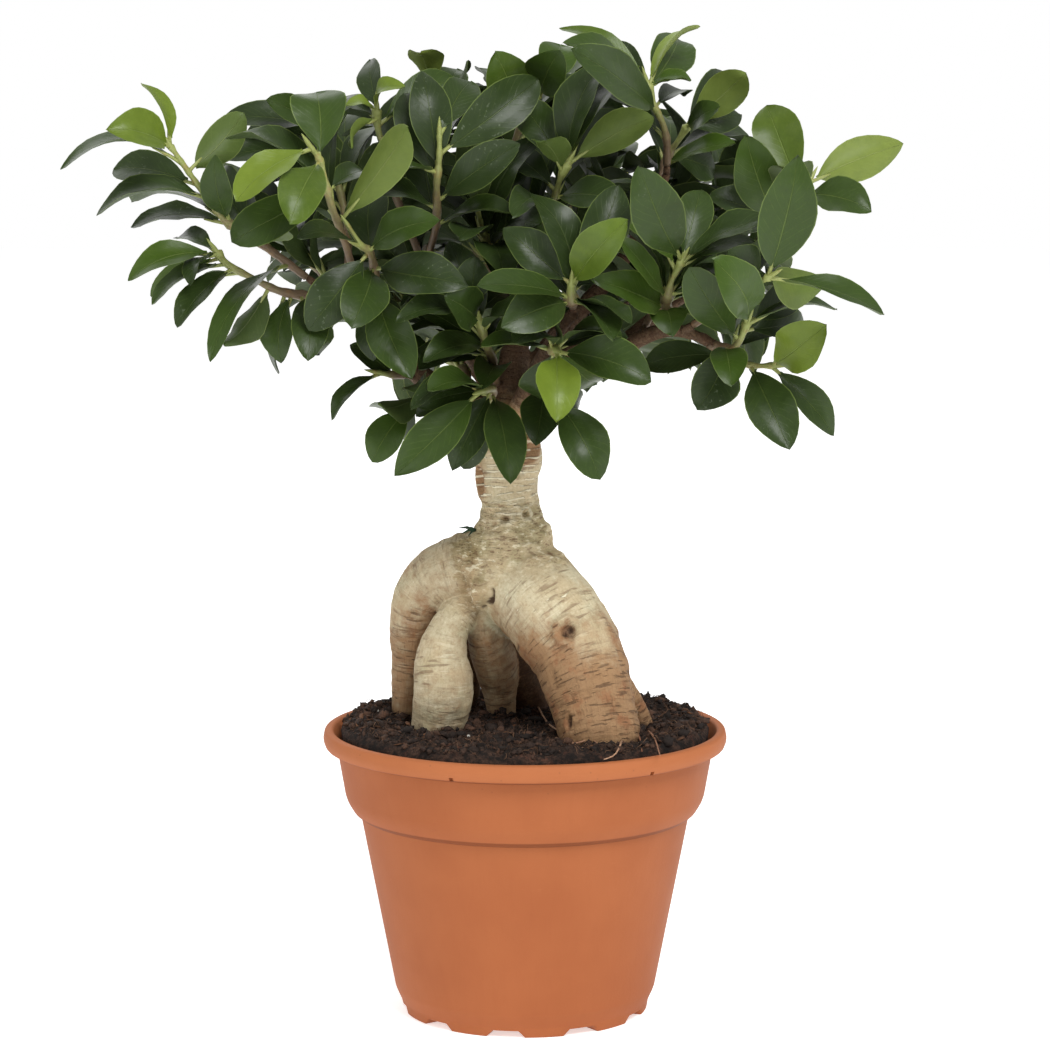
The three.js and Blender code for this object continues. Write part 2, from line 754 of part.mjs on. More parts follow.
// Pot, with notches in its foot ring and two small gate notches under the rim's bead.
function buildPot() {
  let body = solid(lathe(POT_PROFILE, POT_SIDES));
  for (let k = 0; k < FOOT_COUNT; k += 1) {
    const turn = (FOOT_NOTCH.turn + (k * 360) / FOOT_COUNT) * DEGREE;
    const notch = new THREE.BoxGeometry(FOOT_NOTCH.width, FOOT_NOTCH.depth, FOOT_NOTCH.height * 2);
    notch.translate(0, -FOOT_NOTCH.radius, 0);
    notch.rotateZ(turn);
    body = body.subtract(solid(notch));
  }
  GATE_TURNS.forEach((turn) => {
    const notch = new THREE.BoxGeometry(GATE_NOTCH.width, GATE_NOTCH.depth, GATE_NOTCH.height);
    notch.translate(0, -GATE_NOTCH.radius, GATE_NOTCH.level);
    notch.rotateZ(turn * DEGREE);
    body = body.subtract(solid(notch));
  });
  return body;
}

// Roots: a tube through the rows, fatter by the given clearance.
function rootTube(rows, clearance) {
  const points = rows.map(vector);
  const radii = rows.map((row) => row[3] + clearance);
  return tube(points, radii, TREE_SIDES.root);
}

// Soil, with a plain hole for each root that enters it.
function buildSoil() {
  const geometry = lathe(SOIL_PROFILE, SOIL_SIDES);
  const position = geometry.attributes.position;
  for (let i = 0; i < position.count; i += 1) {
    const x = position.getX(i);
    const y = position.getY(i);
    const z = position.getZ(i);
    const radius = Math.sqrt(x * x + y * y);
    if (z > SOIL_LUMP.above) {
      const lump = Math.sin(x * 0.31 + 1.3) * Math.sin(y * 0.37 + 0.4) + 0.5 * Math.sin(x * 0.83 - y * 0.71);
      const fade = Math.min(1, (SOIL_LUMP.fadeFrom - radius) / SOIL_LUMP.fadeOver);
      position.setZ(i, z + SOIL_LUMP.height * lump * fade);
    }
  }
  let body = solid(geometry);
  Object.values(ROOTS).forEach((rows) => {
    const [before, end] = rows.slice(-2);
    const deeper = end.map((value, k) => (k < 3 ? value + HOLE_DEEPER * (value - before[k]) : value));
    body = body.subtract(rootTube([...rows, deeper], HOLE_CLEARANCE));
  });
  return body;
}

// Limbs and the places where stems leave them.
class Limb {
  constructor(row) {
    this.points = row.points.map(vector);
    this.curve = curveThrough(this.points);
    this.thick = row.thick;
    this.thin = row.thin;
    this.last = this.points.length - 1;
    this.samples = [];
    for (let k = 0; k <= this.last * LIMB_SAMPLES; k += 1) {
      const place = k / LIMB_SAMPLES;
      this.samples.push({ point: placeOn(this.curve, place), radius: this.radiusAt(place) });
    }
  }

  radiusAt(place) {
    return this.thick + (this.thin - this.thick) * (place / this.last);
  }

  // The distance from a point to the limb's bark.
  distance(point) {
    return Math.min(...this.samples.map((s) => s.point.distanceTo(point) - s.radius));
  }

  body() {
    const radii = this.points.map((point, k) => this.radiusAt(k));
    return tube(this.points, radii, TREE_SIDES.limb);
  }
}

// A leafy stem: a short spur that belongs to the limb, a gap, and the twig.
class Stem {
  constructor(row, limbs, order) {
    this.name = row.name;
    this.order = order;
    const limb = limbs[row.limb];
    const start = placeOn(limb.curve, row.at);
    this.curve = curveThrough([start, ...row.route.map(vector)]);
    this.last = row.route.length;
    this.seat = 0;
    while (this.seat < this.last && limb.distance(placeOn(this.curve, this.seat)) < SPUR_REACH) {
      this.seat += 0.02;
    }
    this.foot = this.seat;
    this.spurEnd = placeOn(this.curve, this.seat);
    while (placeOn(this.curve, this.foot).distanceTo(this.spurEnd) < GAP) {
      this.foot += 0.005;
    }
    this.knots = [];
    const steps = Math.max(FEWEST_TWIG_STEPS, Math.min(this.last, MOST_TWIG_STEPS));
    for (let k = 0; k <= steps; k += 1) {
      this.knots.push(placeOn(this.curve, this.foot + ((this.last - this.foot) * k) / steps));
    }
    this.leaves = [];
  }

  // A point on the twig's middle, which runs straight from knot to knot.
  point(place) {
    const steps = this.knots.length - 1;
    const share = Math.min(Math.max((place - this.foot) / (this.last - this.foot), 0.03), 1) * steps;
    const k = Math.min(Math.floor(share), steps - 1);
    return this.knots[k].clone().lerp(this.knots[k + 1], share - k);
  }

  spur() {
    return tube([placeOn(this.curve, 0), this.spurEnd], [SPUR_RADIUS, SPUR_RADIUS], TREE_SIDES.spur);
  }

  twig(sides) {
    const steps = this.knots.length - 1;
    const thinner = TWIG_RADIUS.tip - TWIG_RADIUS.seat;
    const radii = this.knots.map((knot, k) => TWIG_RADIUS.seat + (thinner * k) / steps);
    const rings = ringsAlong(this.knots, radii, sides);
    const end = this.knots[steps];
    const along = end.clone().sub(this.knots[steps - 1]).normalize();
    rings.push([end.clone().addScaledVector(along, TWIG_POINT)]);
    return solid(loft(rings));
  }

  body(sides) {
    return join([this.twig(sides), ...this.leaves.map((leaf) => leaf.body())]);
  }
}

// The part of a direction that is square to an axis.
function squareTo(direction, axis) {
  const part = direction.clone().addScaledVector(axis, -direction.dot(axis));
  if (part.length() < 0.2) {
    part.set(0, 0, 1).addScaledVector(axis, -axis.z);
  }
  return part.normalize();
}

// One leaf: a stalk and a blade that bows along its length and folds up along its midrib.
class Leaf {
  constructor(root, tip, facing, width, bow) {
    const base = root.clone().addScaledVector(tip.clone().sub(root).normalize(), 0.2);
    this.base = base;
    this.tip = tip;
    this.length = base.distanceTo(tip);
    this.axis = tip.clone().sub(base).divideScalar(this.length);
    this.normal = squareTo(facing, this.axis);
    this.side = new THREE.Vector3().crossVectors(this.axis, this.normal);
    this.half = width / 2;
    this.bow = bow;
    this.centre = base.clone().lerp(tip, 0.5);
    this.samples = [];
    for (let k = 0; k <= 12; k += 1) {
      const t = 0.1 + 0.075 * k;
      for (let q = -1; q <= 1; q += 0.5) {
        this.samples.push({ t, point: this.point(t, q) });
      }
    }
  }

  // Half the blade's width at a share of the length: widest past the middle, with a blunt tip.
  halfWidth(t) {
    if (t < STALK_SHARE) {
      return STALK_HALF_WIDTH;
    }
    const u = (t - STALK_SHARE) / (1 - STALK_SHARE);
    const outline = 2.319 * Math.sqrt(u) * Math.sqrt(Math.sqrt(u)) * Math.sqrt(1 - u);
    return Math.max(STALK_HALF_WIDTH * (1 - u), this.half * outline);
  }

  lift(t, across) {
    return this.bow * this.length * 4 * t * (1 - t) + FOLD * across;
  }

  point(t, q) {
    const across = q * this.halfWidth(t);
    return this.base
      .clone()
      .addScaledVector(this.axis, this.length * t)
      .addScaledVector(this.normal, this.lift(t, Math.abs(across)))
      .addScaledVector(this.side, across);
  }

  // True if one of the other leaf's points lies on this blade or too near it.
  meets(other, sameStem) {
    return other.samples.some((sample) => {
      if (sameStem && sample.t < 0.3) {
        return false;
      }
      const offset = sample.point.clone().sub(this.base);
      const t = offset.dot(this.axis) / this.length;
      if (t < -EDGE_MARGIN / this.length || t > 1 + EDGE_MARGIN / this.length || (sameStem && t < 0.3)) {
        return false;
      }
      const inside = Math.min(Math.max(t, 0), 1);
      const across = Math.abs(offset.dot(this.side));
      const half = this.halfWidth(inside);
      if (across > half + EDGE_MARGIN) {
        return false;
      }
      const height = offset.dot(this.normal) - this.lift(inside, Math.min(across, half));
      return Math.abs(height) < LEAF_CLEARANCE;
    });
  }

  clearOf(other, sameStem) {
    const reach = (this.length + other.length) / 2 + 6;
    if (this.centre.distanceTo(other.centre) > reach) {
      return true;
    }
    return !this.meets(other, sameStem) && !other.meets(this, sameStem);
  }

  clearOfWood(wood) {
    const [a, b, radius] = wood.piece;
    if (a.distanceTo(this.centre) > this.length / 2 + radius + 16) {
      return true;
    }
    const span = b.clone().sub(a);
    const square = span.lengthSq();
    return !this.samples.some((sample) => {
      if (wood.own && sample.t < 0.35) {
        return false;
      }
      const offset = sample.point.clone().sub(a);
      const share = Math.min(Math.max(offset.dot(span) / square, 0), 1);
      const distance = offset.addScaledVector(span, -share).length();
      return distance < radius + WOOD_CLEARANCE;
    });
  }

  body() {
    const top = [];
    const low = [];
    const rows = LEAF_STATIONS.map(([t, qs, swell]) => {
      const row = [];
      const slope = this.bow * 4 * (1 - 2 * t);
      const up = this.normal.clone().addScaledVector(this.axis, -slope).normalize();
      qs.forEach((q) => {
        row.push(top.length);
        const p = this.point(t, q * swell);
        top.push(p);
        low.push(p.clone().addScaledVector(up, -BLADE_THICKNESS));
      });
      return row;
    });
    const faces = [];
    const edges = [];
    for (let r = 0; r + 1 < rows.length; r += 1) {
      const a = rows[r];
      const b = rows[r + 1];
      if (a.length === 1) {
        faces.push([a[0], b[1], b[0]], [a[0], b[2], b[1]]);
      } else if (a.length === 3 && b.length === 3) {
        faces.push([a[0], a[1], b[1]], [a[0], b[1], b[0]]);
        faces.push([a[1], a[2], b[1]], [a[2], b[2], b[1]]);
      } else {
        faces.push([a[0], a[1], b[0]], [a[1], a[2], b[0]]);
      }
      edges.push([a[a.length - 1], b[b.length - 1]], [b[0], a[0]]);
    }
    const count = top.length;
    const positions = [];
    [...top, ...low].forEach((p) => positions.push(p.x, p.y, p.z));
    const index = [];
    faces.forEach(([a, b, c]) => index.push(a, b, c, a + count, c + count, b + count));
    edges.forEach(([a, b]) => index.push(a, a + count, b, b, a + count, b + count));
    const geometry = new THREE.BufferGeometry();
    geometry.setAttribute("position", new THREE.Float32BufferAttribute(positions, 3));
    geometry.setIndex(index);
    return solid(geometry);
  }
}

function facingOf(turn, rise) {
  const level = Math.cos(rise * DEGREE);
  const angle = turn * DEGREE;
  return new THREE.Vector3(level * Math.sin(angle), -level * Math.cos(angle), Math.sin(rise * DEGREE));
}

// Seeded draws between 0 and 1, a stream of its own for each leaf.
function draws(seed) {
  let state = seed;
  const next = () => {
    state = (state * 16807) % 2147483647;
    return state / 2147483647;
  };
  for (let k = 0; k < 4; k += 1) {
    next();
  }
  return next;
}

// The crown: every limb, stem and leaf, placed so that no leaf meets another.
class Crown {
  constructor() {
    this.limbs = {};
    Object.entries(LIMBS).forEach(([name, row]) => {
      this.limbs[name] = new Limb(row);
    });
    this.seen = SEEN_STEMS.map((row, i) => new Stem(row, this.limbs, i));
    this.fill = FILL_STEMS.map((row, i) => new Stem(row, this.limbs, SEEN_STEMS.length + i));
    this.wood = [];
    this.placed = [];
    this.listWood();
    SEEN_STEMS.forEach((row, i) => this.placeSeen(row, this.seen[i]));
    FILL_STEMS.forEach((row, i) => this.growFill(row, this.fill[i]));
  }

  get stems() {
    return [...this.seen, ...this.fill];
  }

  listWood() {
    Object.values(this.limbs).forEach((limb) => {
      for (let k = 0; k + 1 < limb.samples.length; k += 1) {
        const piece = [limb.samples[k].point, limb.samples[k + 1].point, limb.samples[k].radius];
        this.wood.push({ piece, stem: null });
      }
    });
    for (let k = 0; k < 6; k += 1) {
      this.wood.push({ piece: [vector(TRUNK[k]), vector(TRUNK[k + 1]), TRUNK[k + 1][3]], stem: null });
    }
    this.stems.forEach((stem) => {
      this.wood.push({ piece: [placeOn(stem.curve, 0), stem.spurEnd, SPUR_RADIUS], stem: null });
      for (let k = 0; k + 1 < stem.knots.length; k += 1) {
        this.wood.push({ piece: [stem.knots[k], stem.knots[k + 1], 1], stem });
      }
    });
  }

  fits(leaf, stem) {
    if (!this.placed.every((other) => leaf.clearOf(other.leaf, other.stem === stem))) {
      return false;
    }
    return this.wood.every((wood) => leaf.clearOfWood({ piece: wood.piece, own: wood.stem === stem }));
  }

  keep(leaf, stem) {
    stem.leaves.push(leaf);
    this.placed.push({ leaf, stem });
  }

  // A listed leaf keeps its place in the front view and moves nearer or farther until it is clear.
  // One that is never clear is left out.
  placeSeen(row, stem) {
    row.leaves.forEach(([place, tip, width, turn, rise, bow]) => {
      const facing = facingOf(turn, rise);
      const base = stem.point(place);
      const target = vector(tip);
      const sight = target.clone().sub(EYE).divideScalar(-EYE.y);
      const fitting = SHIFTS.map((shift) => {
        const moved = target.clone().addScaledVector(sight, shift);
        return new Leaf(base, moved, facing, width, bow);
      }).find((leaf) => this.fits(leaf, stem));
      if (fitting) {
        this.keep(fitting, stem);
      }
    });
  }

  growFill(row, stem) {
    for (let i = 0; i < row.count; i += 1) {
      const draw = draws(stem.order * 1000 + i * 37 + 11);
      let kept = false;
      for (let attempt = 0; attempt < GROWTH.attempts && !kept; attempt += 1) {
        const leaf = growLeaf(row, stem, i, draw);
        if (insideOutline(leaf) && this.fits(leaf, stem)) {
          this.keep(leaf, stem);
          kept = true;
        }
      }
    }
  }
}

// A value at a share of a range given as its least value and its width.
function inRange([least, range], share) {
  return least + range * share;
}

// One leaf by rule: leaves wind up the stem by the golden angle and lean out of the crown.
function growLeaf(row, stem, i, draw) {
  const share = row.count > 1 ? i / (row.count - 1) : 1;
  const place = stem.foot + (stem.last - stem.foot) * inRange(GROWTH.place, share);
  const base = stem.point(place);
  const ahead = placeOn(stem.curve, place + 0.03);
  const behind = placeOn(stem.curve, place - 0.03);
  const along = ahead.sub(behind).normalize();
  const up = new THREE.Vector3(0, 0, 1);
  const first = squareTo(Math.abs(along.z) > 0.9 ? new THREE.Vector3(1, 0, 0) : up, along);
  const second = new THREE.Vector3().crossVectors(along, first);
  const wander = GROWTH.turnRange * (draw() - 0.5);
  const turn = (i * GROWTH.goldenTurn + stem.order * GROWTH.stemTurn + wander) * DEGREE;
  const lean = (GROWTH.lean - GROWTH.leanLess * share + GROWTH.leanRange * (draw() - 0.5)) * DEGREE;
  const outward = base.clone().sub(CROWN_MIDDLE).normalize();
  const direction = along
    .clone()
    .multiplyScalar(Math.cos(lean))
    .addScaledVector(first, Math.cos(turn) * Math.sin(lean))
    .addScaledVector(second, Math.sin(turn) * Math.sin(lean))
    .addScaledVector(outward, GROWTH.outward)
    .addScaledVector(up, -GROWTH.droop)
    .normalize();
  const length = inRange(GROWTH.length, draw());
  const width = length * inRange(GROWTH.widthShare, draw());
  const facing = new THREE.Vector3(draw() - 0.5, draw() - 0.5, draw() - 0.5);
  facing.multiplyScalar(GROWTH.facing.wander);
  facing.addScaledVector(up, GROWTH.facing.up).addScaledVector(outward, GROWTH.facing.outward);
  const bow = inRange(GROWTH.bow, draw());
  return new Leaf(base, base.clone().addScaledVector(direction, length), facing, width, bow);
}

// True if the leaf, seen from the front, lies inside the crown's outline.
function insideOutline(leaf) {
  return leaf.samples.every((sample) => {
    const near = -EYE.y / (sample.point.y - EYE.y);
    const x = sample.point.x * near;
    const z = EYE.z + (sample.point.z - EYE.z) * near;
    let inside = false;
    CROWN_OUTLINE.forEach(([ax, az], i) => {
      const [bx, bz] = CROWN_OUTLINE[(i + 1) % CROWN_OUTLINE.length];
      if (az > z !== bz > z && x < ax + ((bx - ax) * (z - az)) / (bz - az)) {
        inside = !inside;
      }
    });
    return inside;
  });
}

// Tree: trunk, roots, limbs and the spurs that carry the stems, all grown together.
function buildTree(crown) {
  const bodies = [tube(TRUNK.map(vector), TRUNK.map((row) => row[3]), TREE_SIDES.trunk)];
  Object.values(ROOTS).forEach((rows) => {
    bodies.push(rootTube(rows, 0));
  });
  const knob = new THREE.IcosahedronGeometry(KNOB.radius, 1);
  knob.translate(...KNOB.centre);
  bodies.push(solid(knob));
  Object.values(crown.limbs).forEach((limb) => bodies.push(limb.body()));
  crown.stems.forEach((stem) => bodies.push(stem.spur()));
  return join(bodies);
}

// Materials and the finished group.
const FINISH = {
  pot: { color: 0xb9673f, roughness: 0.6, metalness: 0 },
  soil: { color: 0x2b211b, roughness: 1, metalness: 0 },
  bark: { color: 0x9b866b, roughness: 0.85, metalness: 0 },
  leaf: { color: 0x2f5a22, roughness: 0.35, metalness: 0 },
};

const group = new THREE.Group();

function addMesh(name, body, finish) {
  const mesh = new THREE.Mesh(geometryOf(body), new THREE.MeshStandardMaterial(FINISH[finish]));
  mesh.name = name;
  group.add(mesh);
}

const crown = new Crown();
addMesh("pot", buildPot(), "pot");
addMesh("soil", buildSoil(), "soil");
addMesh("tree", buildTree(crown), "bark");
crown.seen.forEach((stem) => addMesh("spray_" + stem.name, stem.body(TWIG_SIDES.seen), "leaf"));
crown.fill.forEach((stem) => addMesh("spray_" + stem.name, stem.body(TWIG_SIDES.fill), "leaf"));

export default group;
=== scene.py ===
"""A ficus ginseng bonsai in its nursery pot, dressed over its fixed frame.

Sizes and places in this file are millimetres in the frame's own axes: +Z up, -Y towards the front,
the origin in the middle of the pot's underside. MM turns them into Blender's metres.
"""

import logging
import math
from dataclasses import dataclass, field, replace
from enum import Enum
from typing import Callable, Iterable, Optional, Sequence

import bpy
import numpy as np
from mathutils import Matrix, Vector, noise

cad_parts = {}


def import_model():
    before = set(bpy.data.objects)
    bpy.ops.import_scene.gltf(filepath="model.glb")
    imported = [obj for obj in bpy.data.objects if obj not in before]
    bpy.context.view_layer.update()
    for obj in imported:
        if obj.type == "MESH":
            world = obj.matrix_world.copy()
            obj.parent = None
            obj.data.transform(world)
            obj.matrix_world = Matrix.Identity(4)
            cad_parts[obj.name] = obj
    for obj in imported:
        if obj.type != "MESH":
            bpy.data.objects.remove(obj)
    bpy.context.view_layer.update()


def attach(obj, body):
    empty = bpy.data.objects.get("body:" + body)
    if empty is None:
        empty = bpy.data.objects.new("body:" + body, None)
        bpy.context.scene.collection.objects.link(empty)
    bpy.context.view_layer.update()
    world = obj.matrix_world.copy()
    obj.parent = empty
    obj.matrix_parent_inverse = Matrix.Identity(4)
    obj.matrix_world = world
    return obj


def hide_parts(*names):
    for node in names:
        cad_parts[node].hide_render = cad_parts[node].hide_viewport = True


LOG = logging.getLogger("bonsai")
MM = 0.001
BODY = "root"
UP = np.array((0.0, 0.0, 1.0))
DRAW_FACTOR = 16807
DRAW_LIMIT = 2147483647
SEED_SHIFT = 17.3
Array = np.ndarray
Piece = bpy.types.Object
Material = bpy.types.Material
Socket = bpy.types.NodeSocket
Colour = tuple[float, float, float]
Row = tuple[float, ...]
Faces = Sequence[Sequence[int]]
Spur = tuple[np.ndarray, np.ndarray, float]


class Slot(Enum):
    """The kinds of finish."""

    POT = "pot"
    SOIL = "soil"
    BARK = "bark"
    LEAF = "leaf"


# General helpers.
def linear(colour: Colour) -> tuple[float, float, float, float]:
    """Turns a colour as seen on a screen into the shader's linear one.

    Args:
        colour: Its red, green and blue, from 0 to 255.

    Returns:
        The linear colour with full alpha.
    """
    found = []
    for part in colour:
        share = part / 255
        found.append(share / 12.92 if share <= 0.04045 else ((share + 0.055) / 1.055) ** 2.4)
    return (*found, 1.0)


def unit(vector: Array) -> Array:
    """Returns the vector at length 1."""
    return vector / np.linalg.norm(vector)


def smooth_step(values: Array, low: float, high: float) -> Array:
    """Rises smoothly from 0 at low to 1 at high, or falls where low lies above high."""
    share = np.clip((values - low) / (high - low), 0.0, 1.0)
    return share * share * (3 - 2 * share)


def clear_selection() -> None:
    """Leaves edit mode and deselects every object."""
    if bpy.context.object is not None and bpy.context.object.mode != "OBJECT":
        bpy.ops.object.mode_set(mode="OBJECT")
    bpy.ops.object.select_all(action="DESELECT")


def apply_modifier(piece: Piece, kind: str, **settings: object) -> None:
    """Adds a modifier to a piece and applies it, which leaves only that piece selected.

    Args:
        piece: The mesh object.
        kind: The modifier's type.
        settings: Values for the modifier's own fields.
    """
    clear_selection()
    piece.select_set(True)
    bpy.context.view_layer.objects.active = piece
    modifier = piece.modifiers.new(kind.lower(), kind)
    for name, value in settings.items():
        setattr(modifier, name, value)
    bpy.ops.object.modifier_apply(modifier=modifier.name)


def mesh_piece(name: str, points: Array, faces: Faces) -> Piece:
    """Makes a smooth-shaded mesh object that sits at the origin.

    Args:
        name: The piece's name.
        points: Its points in millimetres.
        faces: Its faces as point numbers.

    Returns:
        The new object.
    """
    mesh = bpy.data.meshes.new(name)
    mesh.from_pydata((np.asarray(points) * MM).tolist(), [], [list(face) for face in faces])
    mesh.polygons.foreach_set("use_smooth", [True] * len(mesh.polygons))
    mesh.update()
    piece = bpy.data.objects.new(name, mesh)
    bpy.context.scene.collection.objects.link(piece)
    return piece


def read_points(piece: Piece, key: str = "co") -> Array:
    """Reads a vector of each point of a mesh.

    Args:
        piece: The mesh object.
        key: The point's field.

    Returns:
        One row of three for each point, as Blender holds them.
    """
    flat = np.empty(len(piece.data.vertices) * 3, np.float32)
    piece.data.vertices.foreach_get(key, flat)
    return flat.reshape(-1, 3).astype(float)


def take_shape(piece: Piece) -> tuple[Array, list[list[int]]]:
    """Reads a small model and removes it.

    Args:
        piece: The model.

    Returns:
        Its points, as Blender holds them, and its faces.
    """
    points, faces = read_points(piece), [list(face.vertices) for face in piece.data.polygons]
    bpy.data.objects.remove(piece)
    return points, faces


def move_points(piece: Piece, points: Array) -> None:
    """Writes new places, in millimetres, to a mesh's points."""
    piece.data.vertices.foreach_set("co", (points * MM).ravel())
    piece.data.update()


def paint(piece: Piece, name: str, values: Array) -> None:
    """Stores one vector or one number for each point of a mesh, for its finish to read.

    Args:
        piece: The mesh object.
        name: The attribute's name.
        values: One row of three numbers, or one number, for each point.
    """
    kind, key = ("FLOAT", "value") if values.ndim == 1 else ("FLOAT_VECTOR", "vector")
    layer = piece.data.attributes.new(name, kind, "POINT")
    layer.data.foreach_set(key, values.astype(np.float32).ravel())


def rough(points: Array, size: float, seed: float) -> Array:
    """Reads soft noise at a set of points.

    Args:
        points: One row of three for each point, in millimetres.
        size: How far apart the bumps lie, in millimetres.
        seed: Shifts the pattern.

    Returns:
        A number from about -1 to 1 for each point.
    """
    shifted = points / size + seed * SEED_SHIFT
    return np.array([noise.noise(Vector(row)) for row in shifted])


def hand_over(piece: Piece, slot: Slot, nodes: Iterable[str] = ()) -> None:
    """Gives a finished piece to the frame.

    Args:
        piece: The finished mesh object.
        slot: The kind of its finish; not used.
        nodes: The plain solids that it stands for.
    """
    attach(piece, BODY)
    names = list(nodes)
    if names:
        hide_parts(*names)
    LOG.info("%s: %d faces", piece.name, len(piece.data.polygons))


class Curve:
    """A smooth open curve through its points."""

    def __init__(self, points: Sequence[Row]) -> None:
        """Keeps the points that the curve goes through."""
        self.points = np.array(points, float)
        self.last = len(self.points) - 1

    def at(self, place: float) -> Array:
        """Finds a point of the curve.

        Args:
            place: Where, counted in the curve's own points: 0 is the first, 1 the second.

        Returns:
            The point there.
        """
        place = min(max(place, 0.0), float(self.last))
        k = min(int(place), self.last - 1)
        share = place - k
        points = self.points
        before = points[k - 1] if k > 0 else 2 * points[0] - points[1]
        after = points[k + 2] if k + 2 <= self.last else 2 * points[-1] - points[-2]
        start, end = points[k], points[k + 1]
        out, into = (end - before) / 2, (after - start) / 2
        cubic = 2 * start - 2 * end + out + into
        square = -3 * start + 3 * end - 2 * out - into
        return start + share * (out + share * (square + share * cubic))

    def line(self, places: Array) -> Array:
        """Finds a row of points of the curve."""
        return np.array([self.at(place) for place in places])


def rings_along(path: Array, radii: Sequence[float], sides: int) -> Array:
    """Lays rings round a path, each turned as little as possible from the one before.

    Args:
        path: The path's points.
        radii: The radius at each of them.
        sides: How many points a ring has.

    Returns:
        The rings' points, as [ring, side, axis].
    """
    rings = []
    side = None
    turns = np.arange(sides) * 2 * math.pi / sides
    for i, point in enumerate(path):
        along = unit(path[min(i + 1, len(path) - 1)] - path[max(i - 1, 0)])
        if side is None:
            side = np.array((1.0, 0, 0)) if abs(along[0]) < 0.8 else np.array((0, 1.0, 0))
        side = unit(side - along * side.dot(along))
        other = np.cross(along, side)
        spokes = np.outer(np.cos(turns), side) + np.outer(np.sin(turns), other)
        rings.append(point + spokes * radii[i])
    return np.array(rings)


def skin(rings: Array) -> tuple[Array, list[list[int]]]:
    """Closes rings into a solid skin with flat ends.

    Args:
        rings: The rings, as [ring, side, axis].

    Returns:
        The points, and the faces as point numbers.
    """
    count, sides = rings.shape[:2]
    faces = []
    for first in range(0, (count - 1) * sides, sides):
        for k in range(sides):
            a, b = first + k, first + (k + 1) % sides
            faces.append([a, b, b + sides, a + sides])
    faces.append(list(reversed(range(sides))))
    faces.append([(count - 1) * sides + k for k in range(sides)])
    return rings.reshape(-1, 3), faces


class Bunch:
    """Collects many small shapes into one mesh, each with its own points."""

    def __init__(self) -> None:
        """Starts with no shapes."""
        self.points: list[Array] = []
        self.faces: list[list[int]] = []
        self.finishes: list[int] = []
        self.maps: list[Array] = []
        self.marks: list[Array] = []
        self.count = 0

    def add(
        self,
        shape: tuple[Array, Faces],
        finish: int | Sequence[int] = 0,
        mark: Colour | Array = (0.0, 0.0, 0.0),
        flat: Optional[Array] = None,
    ) -> None:
        """Adds one shape.

        Args:
            shape: Its points in millimetres, and its faces, counted from its own first point.
            finish: The finish number for all its faces, or one for each.
            mark: Three numbers for all its points, or a row for each, for the finish to read.
            flat: A place on the flat pattern for each point, or None.
        """
        points, faces = shape
        self.points.append(points)
        self.faces += [[self.count + k for k in face] for face in faces]
        self.finishes += [finish] * len(faces) if isinstance(finish, int) else finish
        self.maps.append(np.zeros((len(points), 2)) if flat is None else flat)
        self.marks.append(np.broadcast_to(np.asarray(mark, float), (len(points), 3)))
        self.count += len(points)

    def add_tube(
        self,
        path: Array,
        radii: Sequence[float],
        sides: int,
        finish: int = 0,
        mark: Colour | Array = (0.0, 0.0, 0.0),
    ) -> None:
        """Adds a closed tube along a path.

        Args:
            path: The path's points.
            radii: The radius at each of them.
            sides: How many points a ring has.
            finish: The finish number.
            mark: Three numbers for all its points, or a row for each.
        """
        self.add(skin(rings_along(path, radii, sides)), finish, mark)

    def make(self, name: str, finishes: Sequence[Material]) -> Piece:
        """Makes the mesh object.

        Args:
            name: The piece's name.
            finishes: The materials that the finish numbers stand for.

        Returns:
            The new object, with its flat pattern "flat", its marks "mark" and a sharp edge between finishes.
        """
        piece = mesh_piece(name, np.concatenate(self.points), self.faces)
        mesh = piece.data
        for material in finishes:
            mesh.materials.append(material)
        mesh.polygons.foreach_set("material_index", self.finishes)
        corners, sides = np.empty((2, len(mesh.loops)), int)
        mesh.loops.foreach_get("vertex_index", corners)
        mesh.loops.foreach_get("edge_index", sides)
        finish = np.repeat(self.finishes, [len(face) for face in self.faces])
        least, most = np.full(len(mesh.edges), len(finishes)), np.zeros(len(mesh.edges), int)
        np.minimum.at(least, sides, finish)
        np.maximum.at(most, sides, finish)
        mesh.edges.foreach_set("use_edge_sharp", least != most)
        layer = mesh.uv_layers.new(name="flat")
        layer.data.foreach_set("uv", np.concatenate(self.maps)[corners].ravel())
        paint(piece, "mark", np.concatenate(self.marks))
        return piece


